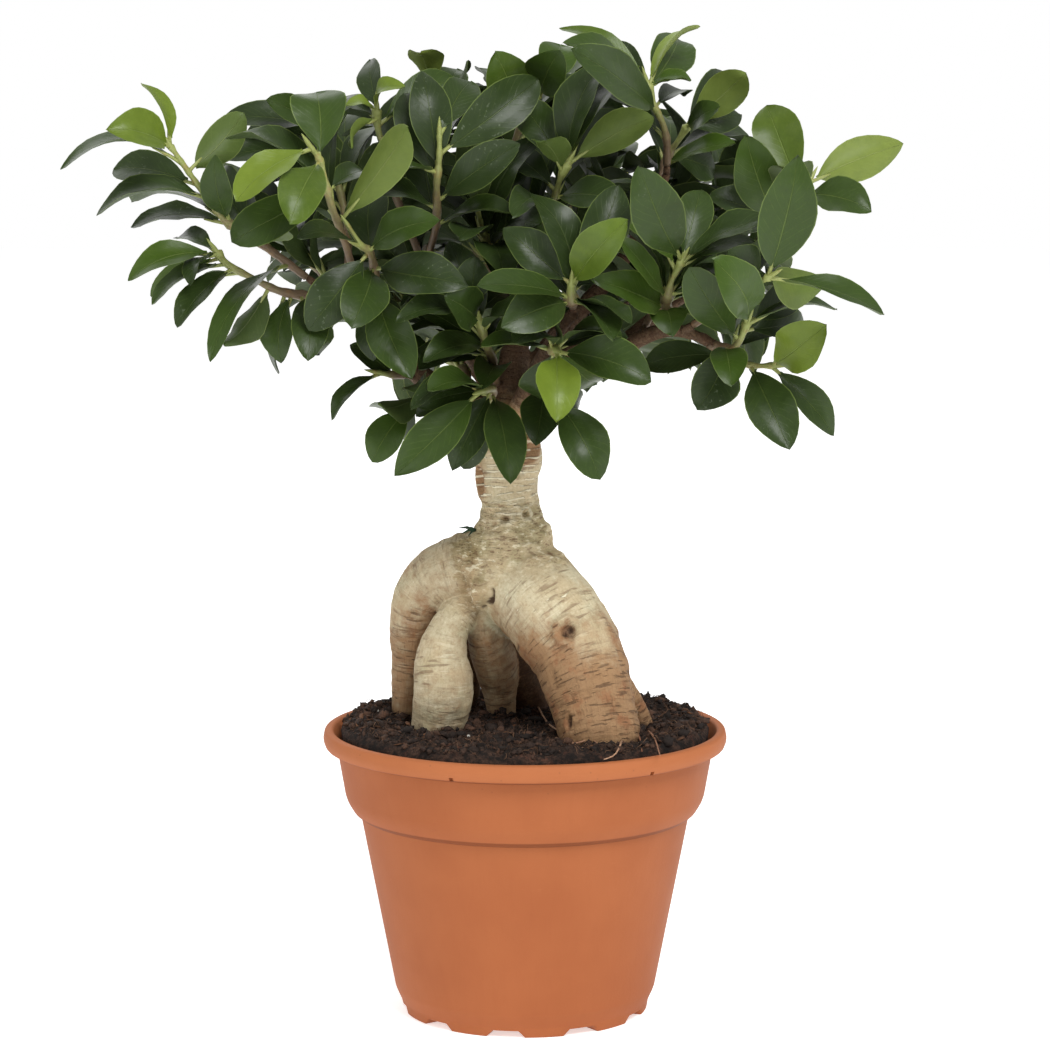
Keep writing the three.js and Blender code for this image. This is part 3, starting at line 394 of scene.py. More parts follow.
# Finishes.
class NodeSheet:
    """A new material, with short ways to add nodes, coats of colour and relief."""

    def __init__(self, name: str, roughness: float, specular: float, base: Colour) -> None:
        """Starts a material with one principled shader.

        Args:
            name: The material's name.
            roughness: The shader's roughness.
            specular: The shader's specular level.
            base: The colour under all coats.
        """
        self.material = bpy.data.materials.new(name)
        self.material.use_nodes = True
        self.tree = self.material.node_tree
        self.shader = self.tree.nodes["Principled BSDF"]
        self.set_inputs(self.shader, {"Roughness": roughness, "Specular IOR Level": specular})
        self.colour: object = linear(base)
        self.relief: Optional[Socket] = None

    def set_inputs(self, node: bpy.types.Node, inputs: dict) -> None:
        """Joins sockets to a node's inputs, or sets those to plain values.

        Args:
            node: The node.
            inputs: The socket or value of each input, by its name or number.
        """
        for key, value in inputs.items():
            if isinstance(value, Socket):
                self.tree.links.new(value, node.inputs[key])
            else:
                node.inputs[key].default_value = value

    def add(self, kind: str, inputs: dict, output: int | str = 0, **fields: object) -> Socket:
        """Adds a node.

        Args:
            kind: The node's type.
            inputs: The socket or value of each input, by its name or number.
            output: Which of its outputs is wanted.
            fields: Values for the node's own fields.

        Returns:
            The output.
        """
        node = self.tree.nodes.new(kind)
        for name, value in fields.items():
            setattr(node, name, value)
        self.set_inputs(node, inputs)
        return node.outputs[output]

    def place(self, stretch: Colour = (1.0, 1.0, 1.0)) -> Socket:
        """Gives the place on the object in millimetres, times a stretch on each axis."""
        source, scale = self.add("ShaderNodeTexCoord", {}, "Object"), [part / MM for part in stretch]
        return self.add("ShaderNodeMapping", {"Vector": source, "Scale": scale})

    def stored(self, name: str, stretch: Colour = (1.0, 1.0, 1.0)) -> Socket:
        """Gives a stored attribute's vector, times a stretch on each axis."""
        source = self.add("ShaderNodeAttribute", {}, "Vector", attribute_name=name)
        return self.add("ShaderNodeMapping", {"Vector": source, "Scale": stretch})

    def parts(self, vector: Socket) -> list[Socket]:
        """Splits a vector into its three numbers."""
        return list(self.add("ShaderNodeSeparateXYZ", {0: vector}).node.outputs)

    def math(self, operation: str, *values: object) -> Socket:
        """Adds one operation on numbers."""
        return self.add("ShaderNodeMath", dict(enumerate(values)), operation=operation)

    def times(self, first: object, second: object) -> Socket:
        """Multiplies two numbers."""
        return self.math("MULTIPLY", first, second)

    def scaled(self, value: object, factor: float, shift: object) -> Socket:
        """Multiplies a number by a factor and shifts the result."""
        return self.math("MULTIPLY_ADD", value, factor, shift)

    def noise(self, vector: Socket, size: float, detail: float = 3.0, strength: float = 0.55) -> Socket:
        """Adds noise from 0 to 1 whose blobs lie a size apart, with finer layers of a strength on them."""
        inputs = {"Vector": vector, "Scale": 1 / size, "Detail": detail, "Roughness": strength}
        return self.add("ShaderNodeTexNoise", inputs, "Fac")

    def cells(self, vector: Socket, size: float) -> Socket:
        """Gives the distance to the nearest of many points a size apart."""
        return self.add("ShaderNodeTexVoronoi", {"Vector": vector, "Scale": 1 / size}, "Distance")

    def step(self, value: object, low: float, high: float, top: float = 1.0) -> Socket:
        """Rises smoothly from 0 to a top, or falls where low lies above high.

        Args:
            value: The number that it follows.
            low: Where it is 0.
            high: Where it reaches the top.
            top: The top.

        Returns:
            The number.
        """
        limits = (high, low, top, 0.0) if low > high else (low, high, 0.0, top)
        inputs = dict(enumerate((value, *limits)))
        return self.add("ShaderNodeMapRange", inputs, interpolation_type="SMOOTHSTEP")

    def coat(self, colour: Colour, share: object) -> None:
        """Covers what is there with a share of a colour."""
        inputs = {0: share, 6: self.colour, 7: linear(colour)}
        self.colour = self.add("ShaderNodeMix", inputs, 2, data_type="RGBA")

    def emboss(self, height: Socket, depth: float) -> None:
        """Lays relief on what is there.

        Args:
            height: The height, from 0 to 1.
            depth: How deep that is, in millimetres.
        """
        inputs = {"Strength": 1.0, "Distance": depth * MM, "Height": height}
        if self.relief is not None:
            inputs["Normal"] = self.relief
        self.relief = self.add("ShaderNodeBump", inputs)

    def finish(self, **inputs: Socket) -> Material:
        """Joins colour, relief and other inputs to the shader and returns the material."""
        self.set_inputs(self.shader, {"Base Color": self.colour, "Normal": self.relief, **inputs})
        return self.material


@dataclass(frozen=True)
class PotFinish:
    """Matt moulded plastic in a terracotta colour.

    A shadow line is the lowest and highest level of a thin painted shadow under the rim or the collar, and
    its strength.
    """

    clay: Colour = (162, 94, 56)
    deep: Colour = (149, 83, 49)
    scuff_and_highlight: Colour = (180, 111, 70)
    dust: Colour = (104, 70, 50)
    shade: Colour = (98, 50, 28)
    shadow_lines: tuple[Row, ...] = ((78.7, 80.1, 0.72), (59.0, 61.0, 0.62))
    roughness: float = 0.62

    def make(self) -> Material:
        """Builds the material: soft clouds, fine pitting, faint scuffs, a painted highlight on the rim band,
        painted shadow lines under the rim and the collar, and a little dust at the rim.

        Returns:
            The material.
        """
        sheet = NodeSheet("pot_plastic", self.roughness, 0.14, self.clay)
        place = sheet.place()
        level = sheet.parts(place)[2]
        clouds = sheet.noise(place, 26, 3)
        streaks = sheet.noise(sheet.place((1.0, 1.0, 0.06)), 2.4, 4, 0.6)
        sheet.coat(self.deep, sheet.step(clouds, 0.3, 0.75, 0.5))
        sheet.coat(self.deep, sheet.step(streaks, 0.45, 0.8, 0.2))
        rubbed = sheet.noise(sheet.place((1.0, 1.0, 5.0)), 5.5, 6, 0.75)
        sheet.coat(self.scuff_and_highlight, sheet.step(rubbed, 0.6, 0.78, 0.3))
        # Painted highlight: the rim band is made lighter where light catches it.
        sheet.coat(self.scuff_and_highlight, sheet.step(level, 79.6, 80.6, 0.45))
        # Painted shadow: thin dark lines under the rim and under the collar, where shade falls.
        for low, high, share in self.shadow_lines:
            shadow_line = sheet.times(sheet.step(level, low, low + 0.4), sheet.step(level, high, high - 0.4))
            sheet.coat(self.shade, sheet.times(shadow_line, share))
        specks = sheet.step(sheet.cells(place, 3.4), 0.1, 0.05, 0.35)
        sheet.coat(self.dust, sheet.times(specks, sheet.step(level, 60.0, 86.0)))
        sheet.emboss(sheet.noise(place, 0.9, 4, 0.7), 0.045)
        sheet.emboss(streaks, 0.03)
        return sheet.finish(Roughness=sheet.scaled(clouds, 0.16, self.roughness - 0.08))


@dataclass(frozen=True)
class SoilFinish:
    """Damp dark peat with reddish-brown fibres in it."""

    dark: Colour = (30, 24, 21)
    brown: Colour = (84, 62, 50)
    rust: Colour = (108, 66, 50)

    def make(self) -> Material:
        """Builds the ground's material.

        Returns:
            The material.
        """
        sheet = NodeSheet("peat", 0.92, 0.25, self.dark)
        place = sheet.place()
        clumps = sheet.noise(place, 3.2, 6, 0.72)
        grain = sheet.noise(place, 0.7, 5, 0.75)
        sheet.coat(self.brown, sheet.step(clumps, 0.4, 0.66))
        sheet.coat(self.rust, sheet.step(sheet.noise(place, 6.5, 5, 0.7), 0.56, 0.72, 0.65))
        sheet.coat(self.dark, sheet.step(grain, 0.56, 0.4, 0.6))
        sheet.emboss(clumps, 1.2)
        sheet.emboss(grain, 0.5)
        return sheet.finish()


@dataclass(frozen=True)
class BitFinish:
    """Finish of small bits, between two colours by each bit's mark."""

    name: str
    first: Colour
    second: Colour

    def make(self) -> Material:
        """Builds the material.

        Returns:
            The material.
        """
        sheet = NodeSheet(self.name, 0.85, 0.3, self.first)
        grain = sheet.noise(sheet.place(), 0.6, 4, 0.7)
        red, green, blue = self.first
        sheet.coat(self.second, sheet.parts(sheet.stored("mark"))[0])
        sheet.coat((red * 0.45, green * 0.45, blue * 0.45), sheet.step(grain, 0.6, 0.35, 0.55))
        sheet.emboss(grain, 0.2)
        return sheet.finish()


@dataclass(frozen=True)
class BarkFinish:
    """Smooth beige bark that turns warm brown towards the soil, with pale pores and dark cracks.

    It reads three attributes: grain, the place round and along the root as if that were straight, tint,
    the shares of brown, of crust and of soil stain with painted shade, and open, which falls to 0 where two
    roots meet.
    """

    pale: Colour = (205, 196, 165)
    beige: Colour = (193, 176, 142)
    green: Colour = (170, 166, 130)
    brown: Colour = (152, 115, 79)
    rust: Colour = (146, 98, 66)
    umber: Colour = (110, 80, 56)
    crack_dirt_and_shade: Colour = (78, 57, 42)
    pore: Colour = (234, 225, 196)
    crust: Colour = (184, 163, 125)
    olive: Colour = (142, 130, 88)
    row_gap: float = 2.1

    @staticmethod
    def strokes(sheet: NodeSheet, length: float, thick: float, detail: float = 2) -> Socket:
        """Adds noise from 0 to 1 drawn out across the grain.

        Args:
            sheet: The material.
            length: How long its blobs are round the root, in millimetres.
            thick: How long they are along it.
            detail: How many finer noises it holds.

        Returns:
            The noise.
        """
        return sheet.noise(sheet.stored("grain", (thick / length, thick / length, 1.0)), thick, detail, 0.5)

    def rows(self, sheet: NodeSheet) -> Socket:
        """Draws thin wavy lines round the stem.

        Args:
            sheet: The material.

        Returns:
            1 on a line and 0 between the lines.
        """
        wave = sheet.times(sheet.noise(sheet.stored("grain", (0.25, 0.25, 1.0)), 1.5, 2), 0.7)
        along = sheet.parts(sheet.stored("grain"))[2]
        order = sheet.math("FRACT", sheet.scaled(along, 1 / self.row_gap, wave))
        return sheet.step(sheet.math("ABSOLUTE", sheet.math("SUBTRACT", order, 0.5)), 0.17, 0.07)

    def make(self) -> Material:
        """Builds the material: tone, wood streaks, cloth-like creases, cracks, pores, crust, soil stain with
        painted shade, and relief.

        Returns:
            The material.
        """
        sheet = NodeSheet("fig_bark", 0.7, 0.22, self.beige)
        step, times, noise_at = sheet.step, sheet.times, sheet.noise
        place = sheet.place()
        level = sheet.parts(place)[2]
        brownness, crusty, dirt_and_shade = sheet.parts(sheet.stored("tint"))
        whole = sheet.parts(sheet.stored("open"))[0]
        clouds = noise_at(place, 12, 4, 0.6)
        mottle = noise_at(place, 3.6, 5, 0.7)
        fine = noise_at(place, 0.75, 4, 0.7)
        cloudy = sheet.math("SUBTRACT", clouds, 0.5)
        sheet.coat(self.pale, step(clouds, 0.36, 0.62))
        sheet.coat(self.green, step(noise_at(place, 15, 4), 0.5, 0.7, 0.5))
        warm = sheet.math("ADD", brownness, sheet.math("ADD", sheet.scaled(mottle, 1.3, -0.65), cloudy))
        sheet.coat(self.brown, step(warm, 0.05, 1.0, 0.92))
        rusty = step(noise_at(place, 7, 4, 0.65), 0.5, 0.66, 0.75)
        sheet.coat(self.rust, times(rusty, step(warm, 0.45, 1.1)))
        strength = times(whole, sheet.scaled(brownness, 0.65, 0.4))
        streaks = noise_at(sheet.stored("grain", (1.0, 1.0, 0.08)), 0.7, 5, 0.75)
        sheet.coat(self.umber, times(step(streaks, 0.5, 0.72, 0.5), strength))
        bands = self.strokes(sheet, 7, 1.2)
        sheet.coat(self.umber, times(step(bands, 0.55, 0.72, 0.36), strength))
        sheet.coat(self.umber, step(fine, 0.48, 0.3, 0.26))
        sheet.coat(self.pore, times(step(fine, 0.54, 0.7, 0.36), step(brownness, 0.6, 0.15)))
        cloth = self.strokes(sheet, 11, 0.95, 1)
        broken = times(step(noise_at(place, 5.5, 3, 0.6), 0.42, 0.58), whole)
        crease = times(step(cloth, 0.58, 0.65, 0.5), broken)
        sheet.coat(self.umber, crease)
        lip = times(step(cloth, 0.39, 0.33, 0.3), step(brownness, 0.9, 0.3))
        sheet.coat(self.pore, times(lip, broken))
        gate = times(step(sheet.math("ADD", brownness, cloudy), 0.35, 0.9), whole)
        split = times(step(self.strokes(sheet, 6, 0.8), 0.61, 0.66, 0.62), gate)
        sheet.coat(self.crack_dirt_and_shade, split)
        ringed = times(step(level, 145.0, 150.0), step(level, 176.0, 168.0))
        dashes = times(self.rows(sheet), step(self.strokes(sheet, 4, 1.6), 0.47, 0.53, 0.9))
        sparse = times(step(self.strokes(sheet, 6, 1.1), 0.68, 0.72), step(brownness, 0.5, 0.2))
        pore = times(sheet.math("MAXIMUM", sparse, times(dashes, ringed)), whole)
        sheet.coat(self.pore, pore)
        crusted = sheet.scaled(sheet.math("SUBTRACT", mottle, 0.5), 2.6, crusty)
        crusted = times(step(crusted, 0.1, 0.9), step(crusty, 0.0, 0.3))
        sheet.coat(self.crust, times(crusted, 0.6))
        sheet.coat(self.olive, times(crusted, step(clouds, 0.44, 0.56, 0.55)))
        wrinkle = noise_at(sheet.place((0.4, 0.4, 1.0)), 1.1, 3, 0.65)
        sheet.coat(self.umber, times(step(wrinkle, 0.46, 0.34, 0.75), crusty))
        sheet.coat(self.pore, times(step(wrinkle, 0.55, 0.65, 0.7), crusty))
        # Soil stain near the ground, and painted shade on the back roots, trunk top, limbs and scar hollows,
        # in a dark bark colour.
        soiled_and_shaded = sheet.math("ADD", dirt_and_shade, sheet.scaled(fine, 0.9, -0.45))
        sheet.coat(self.crack_dirt_and_shade, step(soiled_and_shaded, 0.25, 0.9, 0.95))
        sheet.emboss(times(bands, strength), 0.45)
        sheet.emboss(times(streaks, strength), 0.35)
        sheet.emboss(sheet.math("SUBTRACT", pore, sheet.math("ADD", split, crease)), 0.32)
        sheet.emboss(fine, 0.22)
        sheet.emboss(times(wrinkle, crusty), 0.9)
        return sheet.finish()


@dataclass(frozen=True)
class TwigFinish:
    """Skin of the leafy stems: brown bark or, as the mark's first number rises, fresh yellow-green."""

    wood: Colour = (112, 92, 70)
    fresh: Colour = (142, 150, 84)
    blush: Colour = (150, 112, 70)

    def make(self) -> Material:
        """Builds the material.

        Returns:
            The material.
        """
        sheet = NodeSheet("stem_skin", 0.45, 0.45, self.wood)
        place = sheet.place()
        mottle = sheet.noise(place, 1.3, 4, 0.65)
        share = sheet.math("ADD", sheet.parts(sheet.stored("mark"))[0], sheet.scaled(mottle, 0.4, -0.2))
        sheet.coat(self.fresh, sheet.step(share, 0.25, 0.7))
        sheet.coat(self.blush, sheet.step(sheet.noise(place, 3.1, 3), 0.55, 0.7, 0.35))
        sheet.emboss(mottle, 0.15)
        return sheet.finish()


class LeafSide(Enum):
    """The two faces of a leaf."""

    TOP = "leaf_top"
    UNDER = "leaf_underside"


@dataclass(frozen=True)
class LeafFinish:
    """Leathery fig leaf.

    The pattern's two numbers run across and along the blade, and the mark holds how young the leaf is
    and a number of its own.
    """

    side: LeafSide
    old: Colour
    grown: Colour
    young: Colour
    rib: Colour
    roughness: float
    dust: Colour = (150, 160, 136)
    veins: float = 11.0
    rise: float = 0.3

    def make(self) -> Material:
        """Builds the material: tone by age, midrib, faint side veins, a pale margin that is partly painted
        light through the thin edge, mottling and dried drops.

        Returns:
            The material.
        """
        sheet = NodeSheet(self.side.value, self.roughness, 0.24, self.old)
        step, times = sheet.step, sheet.times
        place = sheet.place()
        across, along, _ = sheet.parts(sheet.add("ShaderNodeUVMap", {}, uv_map="flat"))
        age, own, _ = sheet.parts(sheet.stored("mark"))
        mottle = sheet.noise(place, 4.2, 4, 0.6)
        out = sheet.math("ABSOLUTE", sheet.scaled(across, 2.0, -1.0))
        tone = sheet.math("ADD", age, sheet.scaled(mottle, 0.2, -0.1))
        tone = sheet.math("ADD", tone, sheet.scaled(own, 0.16, -0.08))
        sheet.coat(self.grown, step(tone, -0.08, 0.5))
        sheet.coat(self.young, step(tone, 0.4, 1.0))
        order = times(sheet.math("SUBTRACT", along, times(out, self.rise)), self.veins)
        wave = sheet.math("ABSOLUTE", sheet.math("SUBTRACT", sheet.math("FRACT", order), 0.5))
        vein = times(step(wave, 0.1, 0.0), step(mottle, 0.35, 0.6))
        sheet.coat(self.rib, times(vein, 0.07))
        rib = step(sheet.math("DIVIDE", out, sheet.scaled(along, -0.045, 0.06)), 1.0, 0.4)
        sheet.coat(self.rib, times(rib, sheet.scaled(step(tone, 0.0, 0.6), 0.26, 0.14)))
        # Pale margin: partly the thin edge's own paler colour, partly painted light shining through it.
        sheet.coat(self.rib, step(out, 0.945, 0.985, 0.45))
        drops = times(step(sheet.noise(place, 1.1, 3), 0.62, 0.7), step(tone, 0.25, 0.05))
        sheet.coat(self.dust, times(drops, step(sheet.noise(place, 17, 2), 0.5, 0.62, 0.2)))
        groove = -1.0 if self.side is LeafSide.TOP else 1.0
        sheet.emboss(times(vein, groove), 0.02)
        sheet.emboss(times(rib, groove), 0.14)
        sheet.emboss(sheet.noise(place, 3.4, 2), 0.09)
        return sheet.finish(Roughness=sheet.scaled(mottle, 0.12, self.roughness - 0.06))


def leaf_finishes() -> list[Material]:
    """Makes the finishes of a leafy stem.

    Returns:
        The leaf's top, its underside and the stem's skin.
    """
    top = LeafFinish(LeafSide.TOP, (39, 52, 24), (56, 77, 22), (112, 130, 42), (122, 140, 70), 0.34)
    under = LeafFinish(LeafSide.UNDER, (57, 72, 39), (77, 94, 41), (126, 141, 60), (140, 152, 88), 0.5)
    return [top.make(), under.make(), TwigFinish().make()]


# The pot.
@dataclass
class Pot:
    """The moulded pot: a tapered wall on a notched foot ring, a deeper collar and a rolled rim.

    A row of the profile is radius, height and the corner's own rounding. A gate's size and place are
    across, out from the middle and up.
    """

    sides: int = 120
    outside: tuple[Row, ...] = (
        (6, 0, 0), (6.6, 2.2, 0.4), (30, 2.2, 0.4), (30.5, 0, 0.4), (36.5, 0, 0.6), (37, 3, 0.6),
        (38.8, 7, 0.8), (48.9, 59.3, 0.4), (50.9, 60.4, 0.9), (53.2, 64.2, 2.6), (55.8, 79.2, 0.35),
        (59.2, 79.8, 0.6), (60, 82, 1.2), (59.4, 84.9, 0.9), (57, 85, 0.9), (54.3, 77, 1.5),
        (51.2, 65.5, 2.0), (47.2, 59.5, 2.0), (36.6, 5, 2.0), (8, 5, 0),
    )
    arc_steps: int = 4
    foot_inside: float = 30.5
    foot_outside: float = 36.5
    notch_count: int = 10
    notch_width: float = 9.0
    notch_height: float = 2.0
    notch_turn: float = 8.0
    notch_slope: float = 0.12
    gate_turns: tuple[float, ...] = (-20.5, 37.5)
    gate_size: Row = (1.3, 3.2, 2.4)
    gate_place: Row = (0.0, -59.0, 79.7)
    crease_angle: float = 38.0
    finish: PotFinish = field(default_factory=PotFinish)

    def rounded_profile(self) -> list[tuple[float, float]]:
        """Replaces each corner of the profile by an arc.

        Returns:
            The radius and height of each ring of the pot.
        """
        rows = [np.array(row[:2], float) for row in self.outside]
        rings = [tuple(rows[0])]
        for k in range(1, len(rows) - 1):
            corner = rows[k]
            back, ahead = rows[k - 1] - corner, rows[k + 1] - corner
            reach = min(self.outside[k][2], 0.45 * np.linalg.norm(back), 0.45 * np.linalg.norm(ahead))
            start, end = corner + unit(back) * reach, corner + unit(ahead) * reach
            for share in np.arange(self.arc_steps + 1) / self.arc_steps:
                rest = 1 - share
                rings.append(tuple(rest**2 * start + 2 * share * rest * corner + share**2 * end))
        rings.append(tuple(rows[-1]))
        return rings

    def turn_wall(self) -> Piece:
        """Draws the wall up and round from a ring, by extruding it along the profile.

        Returns:
            The closed pot.
        """
        rings = self.rounded_profile()
        clear_selection()
        radius, height = rings[0]
        bpy.ops.mesh.primitive_circle_add(
            vertices=self.sides, radius=radius * MM, location=(0, 0, height * MM)
        )
        pot = bpy.context.object
        pot.name = "moulded_pot"
        bpy.ops.object.transform_apply(location=True)
        bpy.ops.object.mode_set(mode="EDIT")
        bpy.ops.mesh.select_all(action="SELECT")
        bpy.ops.mesh.edge_face_add()
        for wider, higher in rings[1:]:
            bpy.ops.mesh.extrude_region()
            bpy.ops.transform.translate(value=(0, 0, (higher - height) * MM))
            spread = wider / radius
            bpy.ops.transform.resize(value=(spread, spread, 1), center_override=(0, 0, higher * MM))
            radius, height = wider, higher
        bpy.ops.mesh.select_all(action="SELECT")
        bpy.ops.mesh.normals_make_consistent(inside=False)
        bpy.ops.object.mode_set(mode="OBJECT")
        return pot

    def notch_foot(self, pot: Piece) -> None:
        """Lifts short stretches of the foot ring, so that water runs out under the pot.

        Args:
            pot: The pot as turned.
        """
        points = read_points(pot) / MM
        radius = np.hypot(points[:, 0], points[:, 1])
        middle = (self.foot_inside + self.foot_outside) / 2
        half_turn = math.degrees(self.notch_width / 2 / middle)
        turn = np.degrees(np.arctan2(points[:, 0], -points[:, 1]))
        pitch = 360 / self.notch_count
        off = np.abs((turn + self.notch_turn + pitch / 2) % pitch - pitch / 2)
        foot = (points[:, 2] < self.notch_height) & (radius > self.foot_inside - 1)
        lifted = foot & (off < half_turn)
        points[lifted, 2] = self.notch_height + self.notch_slope * points[lifted, 2]
        move_points(pot, points)

    def cut_gates(self, pot: Piece) -> None:
        """Cuts the two small marks that the mould leaves under the rim.

        Args:
            pot: The pot with its foot.
        """
        for turn in self.gate_turns:
            clear_selection()
            bpy.ops.mesh.primitive_cube_add(size=1)
            cutter = bpy.context.object
            cutter.scale = [part * MM for part in self.gate_size]
            cutter.location = [part * MM for part in self.gate_place]
            bpy.ops.object.transform_apply(location=True, scale=True)
            cutter.rotation_euler = (0, 0, math.radians(turn))
            bpy.ops.object.transform_apply(rotation=True)
            apply_modifier(pot, "BOOLEAN", operation="DIFFERENCE", object=cutter, solver="EXACT")
            bpy.data.objects.remove(cutter)

    def build(self) -> None:
        """Builds and dresses the pot."""
        pot = self.turn_wall()
        self.notch_foot(pot)
        self.cut_gates(pot)
        bpy.ops.object.shade_smooth_by_angle(angle=math.radians(self.crease_angle))
        pot.data.materials.clear()
        pot.data.materials.append(self.finish.make())
        hand_over(pot, Slot.POT, ["pot"])


# The soil.
def turn_matrix(turn: float, lean: float) -> Array:
    """Makes a matrix for points in rows: first a lean about Y, then a turn about Z.

    Args:
        turn, lean: Both in radians.

    Returns:
        The matrix.
    """
    tilt = np.array(((math.cos(lean), 0, math.sin(lean)), (0, 1, 0), (-math.sin(lean), 0, math.cos(lean))))
    spin = np.array(((math.cos(turn), math.sin(turn), 0), (-math.sin(turn), math.cos(turn), 0), (0, 0, 1)))
    return tilt @ spin


@dataclass
class Ground:
    """The peat that fills the pot to just under its rim, with what lies loose on it.

    A row of the profile is radius and height, and so is one of the wall. A row of the perlite is the
    place of a grain and its radius.
    """

    profile: tuple[Row, ...] = (
        (0, 86.6), (22, 86.4), (36, 86.7), (44, 87.9), (50.5, 88.6), (53.4, 87.4), (54.8, 85.2),
    )
    top_radius: float = 54.6
    rings: int = 96
    sides: int = 260
    wall_rows: tuple[Row, ...] = ((53.6, 77), (50.5, 65.8), (46.5, 59.7), (36, 5.3), (1, 5.3))
    scatter_radius: float = 53.6
    crumb_count: int = 7600
    fibre_count: int = 1500
    fibre_steps: int = 4
    fibre_reach: float = 53.5
    chip_count: int = 120
    perlite: tuple[Row, ...] = (
        (-16.4, -21, 0.6), (-2.3, -29, 0.45), (-44, 10, 0.4), (33, -36, 0.4), (12, 44, 0.5),
    )
    seed: int = 41

    def height(self, places: Array) -> Array:
        """Works out how high the ground lies.

        Args:
            places: One row of x and y for each point.

        Returns:
            The height at each of them.
        """
        x, y = places[:, 0], places[:, 1]
        radius = np.hypot(x, y)
        radii, heights = np.array(self.profile, float).T
        lump = np.sin(x * 0.31 + 1.3) * np.sin(y * 0.37 + 0.4) + 0.5 * np.sin(x * 0.83 - y * 0.71)
        flat = np.column_stack((places, np.zeros(len(places))))
        fine = 1.8 * rough(flat, 7.5, 1) + 2.0 * np.abs(rough(flat, 3.6, 2))
        fine = fine + 1.0 * rough(flat, 1.5, 3) - 0.4
        fade = np.clip((56 - radius) / 12, 0, 1)
        edge = np.clip((55.4 - radius) / 4, 0.25, 1)
        return np.interp(radius, radii, heights) + 0.7 * lump * fade + fine * edge - 1.1

    def build_top(self) -> Piece:
        """Makes the closed body of soil with its rough top.

        Returns:
            The soil's body.
        """
        turns = np.arange(self.sides) * 2 * math.pi / self.sides
        circle = np.column_stack((np.cos(turns), np.sin(turns)))
        rings = []
        for radius in self.top_radius * np.linspace(0.012, 1, self.rings):
            places = circle * radius
            rings.append(np.column_stack((places, self.height(places))))
        for radius, height in self.wall_rows:
            rings.append(np.column_stack((circle * radius, np.full(self.sides, height))))
        return mesh_piece("soil_bed", *skin(np.array(rings)[::-1]))

    def scatter(self, draw: np.random.Generator, count: int) -> Array:
        """Draws places on the ground.

        Args:
            draw: The seeded draws.
            count: How many.

        Returns:
            One row of x, y and z for each place.
        """
        radius = self.scatter_radius * np.sqrt(draw.random(count))
        turn = 2 * math.pi * draw.random(count)
        places = np.column_stack((radius * np.cos(turn), radius * np.sin(turn)))
        return np.column_stack((places, self.height(places)))

    def build_crumbs(self) -> Piece:
        """Scatters crumbs, bark chips and a few white grains over the ground.

        Returns:
            All of them as one piece.
        """
        draw = np.random.default_rng(self.seed)
        clear_selection()
        bpy.ops.mesh.primitive_ico_sphere_add(subdivisions=1, radius=1)
        ball, faces = take_shape(bpy.context.object)

        def lump(unevenness: float) -> Array:
            """Gives the ball with each point drawn in or out."""
            return ball * (1 + unevenness * (draw.random((len(ball), 1)) - 0.5))

        bunch = Bunch()
        for place in self.scatter(draw, self.crumb_count):
            size = 0.2 + 1.15 * draw.random() ** 6
            shape = lump(1.4) * size * (0.6 + 0.9 * draw.random(3)) * (1, 1, 0.8)
            bunch.add((shape + place + (0, 0, 0.25 * size), faces), 0, (draw.random() ** 2, 0, 0))
        for place in self.scatter(draw, self.chip_count):
            turn = 2 * math.pi * draw.random()
            lean = 0.9 * (draw.random() - 0.5)
            length = 0.9 + 1.9 * draw.random() ** 1.5
            shape = lump(0.6) * (length, 0.3 * length, 0.26) @ turn_matrix(turn, lean)
            bunch.add((shape + place + (0, 0, 0.5), faces), 1, (draw.random(), 0, 0))
        for x, y, size in self.perlite:
            ground = self.height(np.array([[x, y]]))[0]
            bunch.add((lump(0.5) * size + (x, y, ground + 0.5 * size), faces), 2)
        finishes = (
            BitFinish("peat_crumb", (38, 30, 26), (96, 68, 52)),
            BitFinish("bark_chip", (70, 46, 32), (118, 80, 54)),
            BitFinish("perlite", (222, 218, 208), (222, 218, 208)),
        )
        return bunch.make("soil_crumbs", [finish.make() for finish in finishes])

    def build_fibres(self) -> Piece:
        """Lays short peat fibres and fine rootlets over the ground.

        Returns:
            All of them as one piece.
        """
        draw = np.random.default_rng(self.seed + 1)
        bunch = Bunch()
        for start in self.scatter(draw, self.fibre_count):
            length = 1.6 + 5.5 * draw.random() ** 2
            turn = 2 * math.pi * draw.random()
            path = [start + (0, 0, 0.2)]
            lift = 1.6 * draw.random() ** 2
            for step in range(1, self.fibre_steps + 1):
                turn += 0.9 * (draw.random() - 0.5)
                ahead = path[-1] + np.array((math.cos(turn), math.sin(turn), 0)) * length / self.fibre_steps
                ahead[:2] *= min(1.0, self.fibre_reach / math.hypot(ahead[0], ahead[1]))
                ahead[2] = self.height(ahead[None, :2])[0] + 0.3 + lift * math.sin(step * 0.8)
                path.append(ahead)
            width = 0.05 + 0.08 * draw.random() ** 2
            bunch.add_tube(np.array(path), [width] * len(path), 3, 0, (draw.random() ** 2.5, 0, 0))
        return bunch.make("soil_fibres", [BitFinish("peat_fibre", (50, 36, 28), (140, 104, 78)).make()])

    def build(self) -> None:
        """Builds and dresses the soil and what lies on it."""
        top = self.build_top()
        top.data.materials.append(SoilFinish().make())
        hand_over(top, Slot.SOIL, ["soil"])
        hand_over(self.build_crumbs(), Slot.SOIL)
        hand_over(self.build_fibres(), Slot.SOIL)


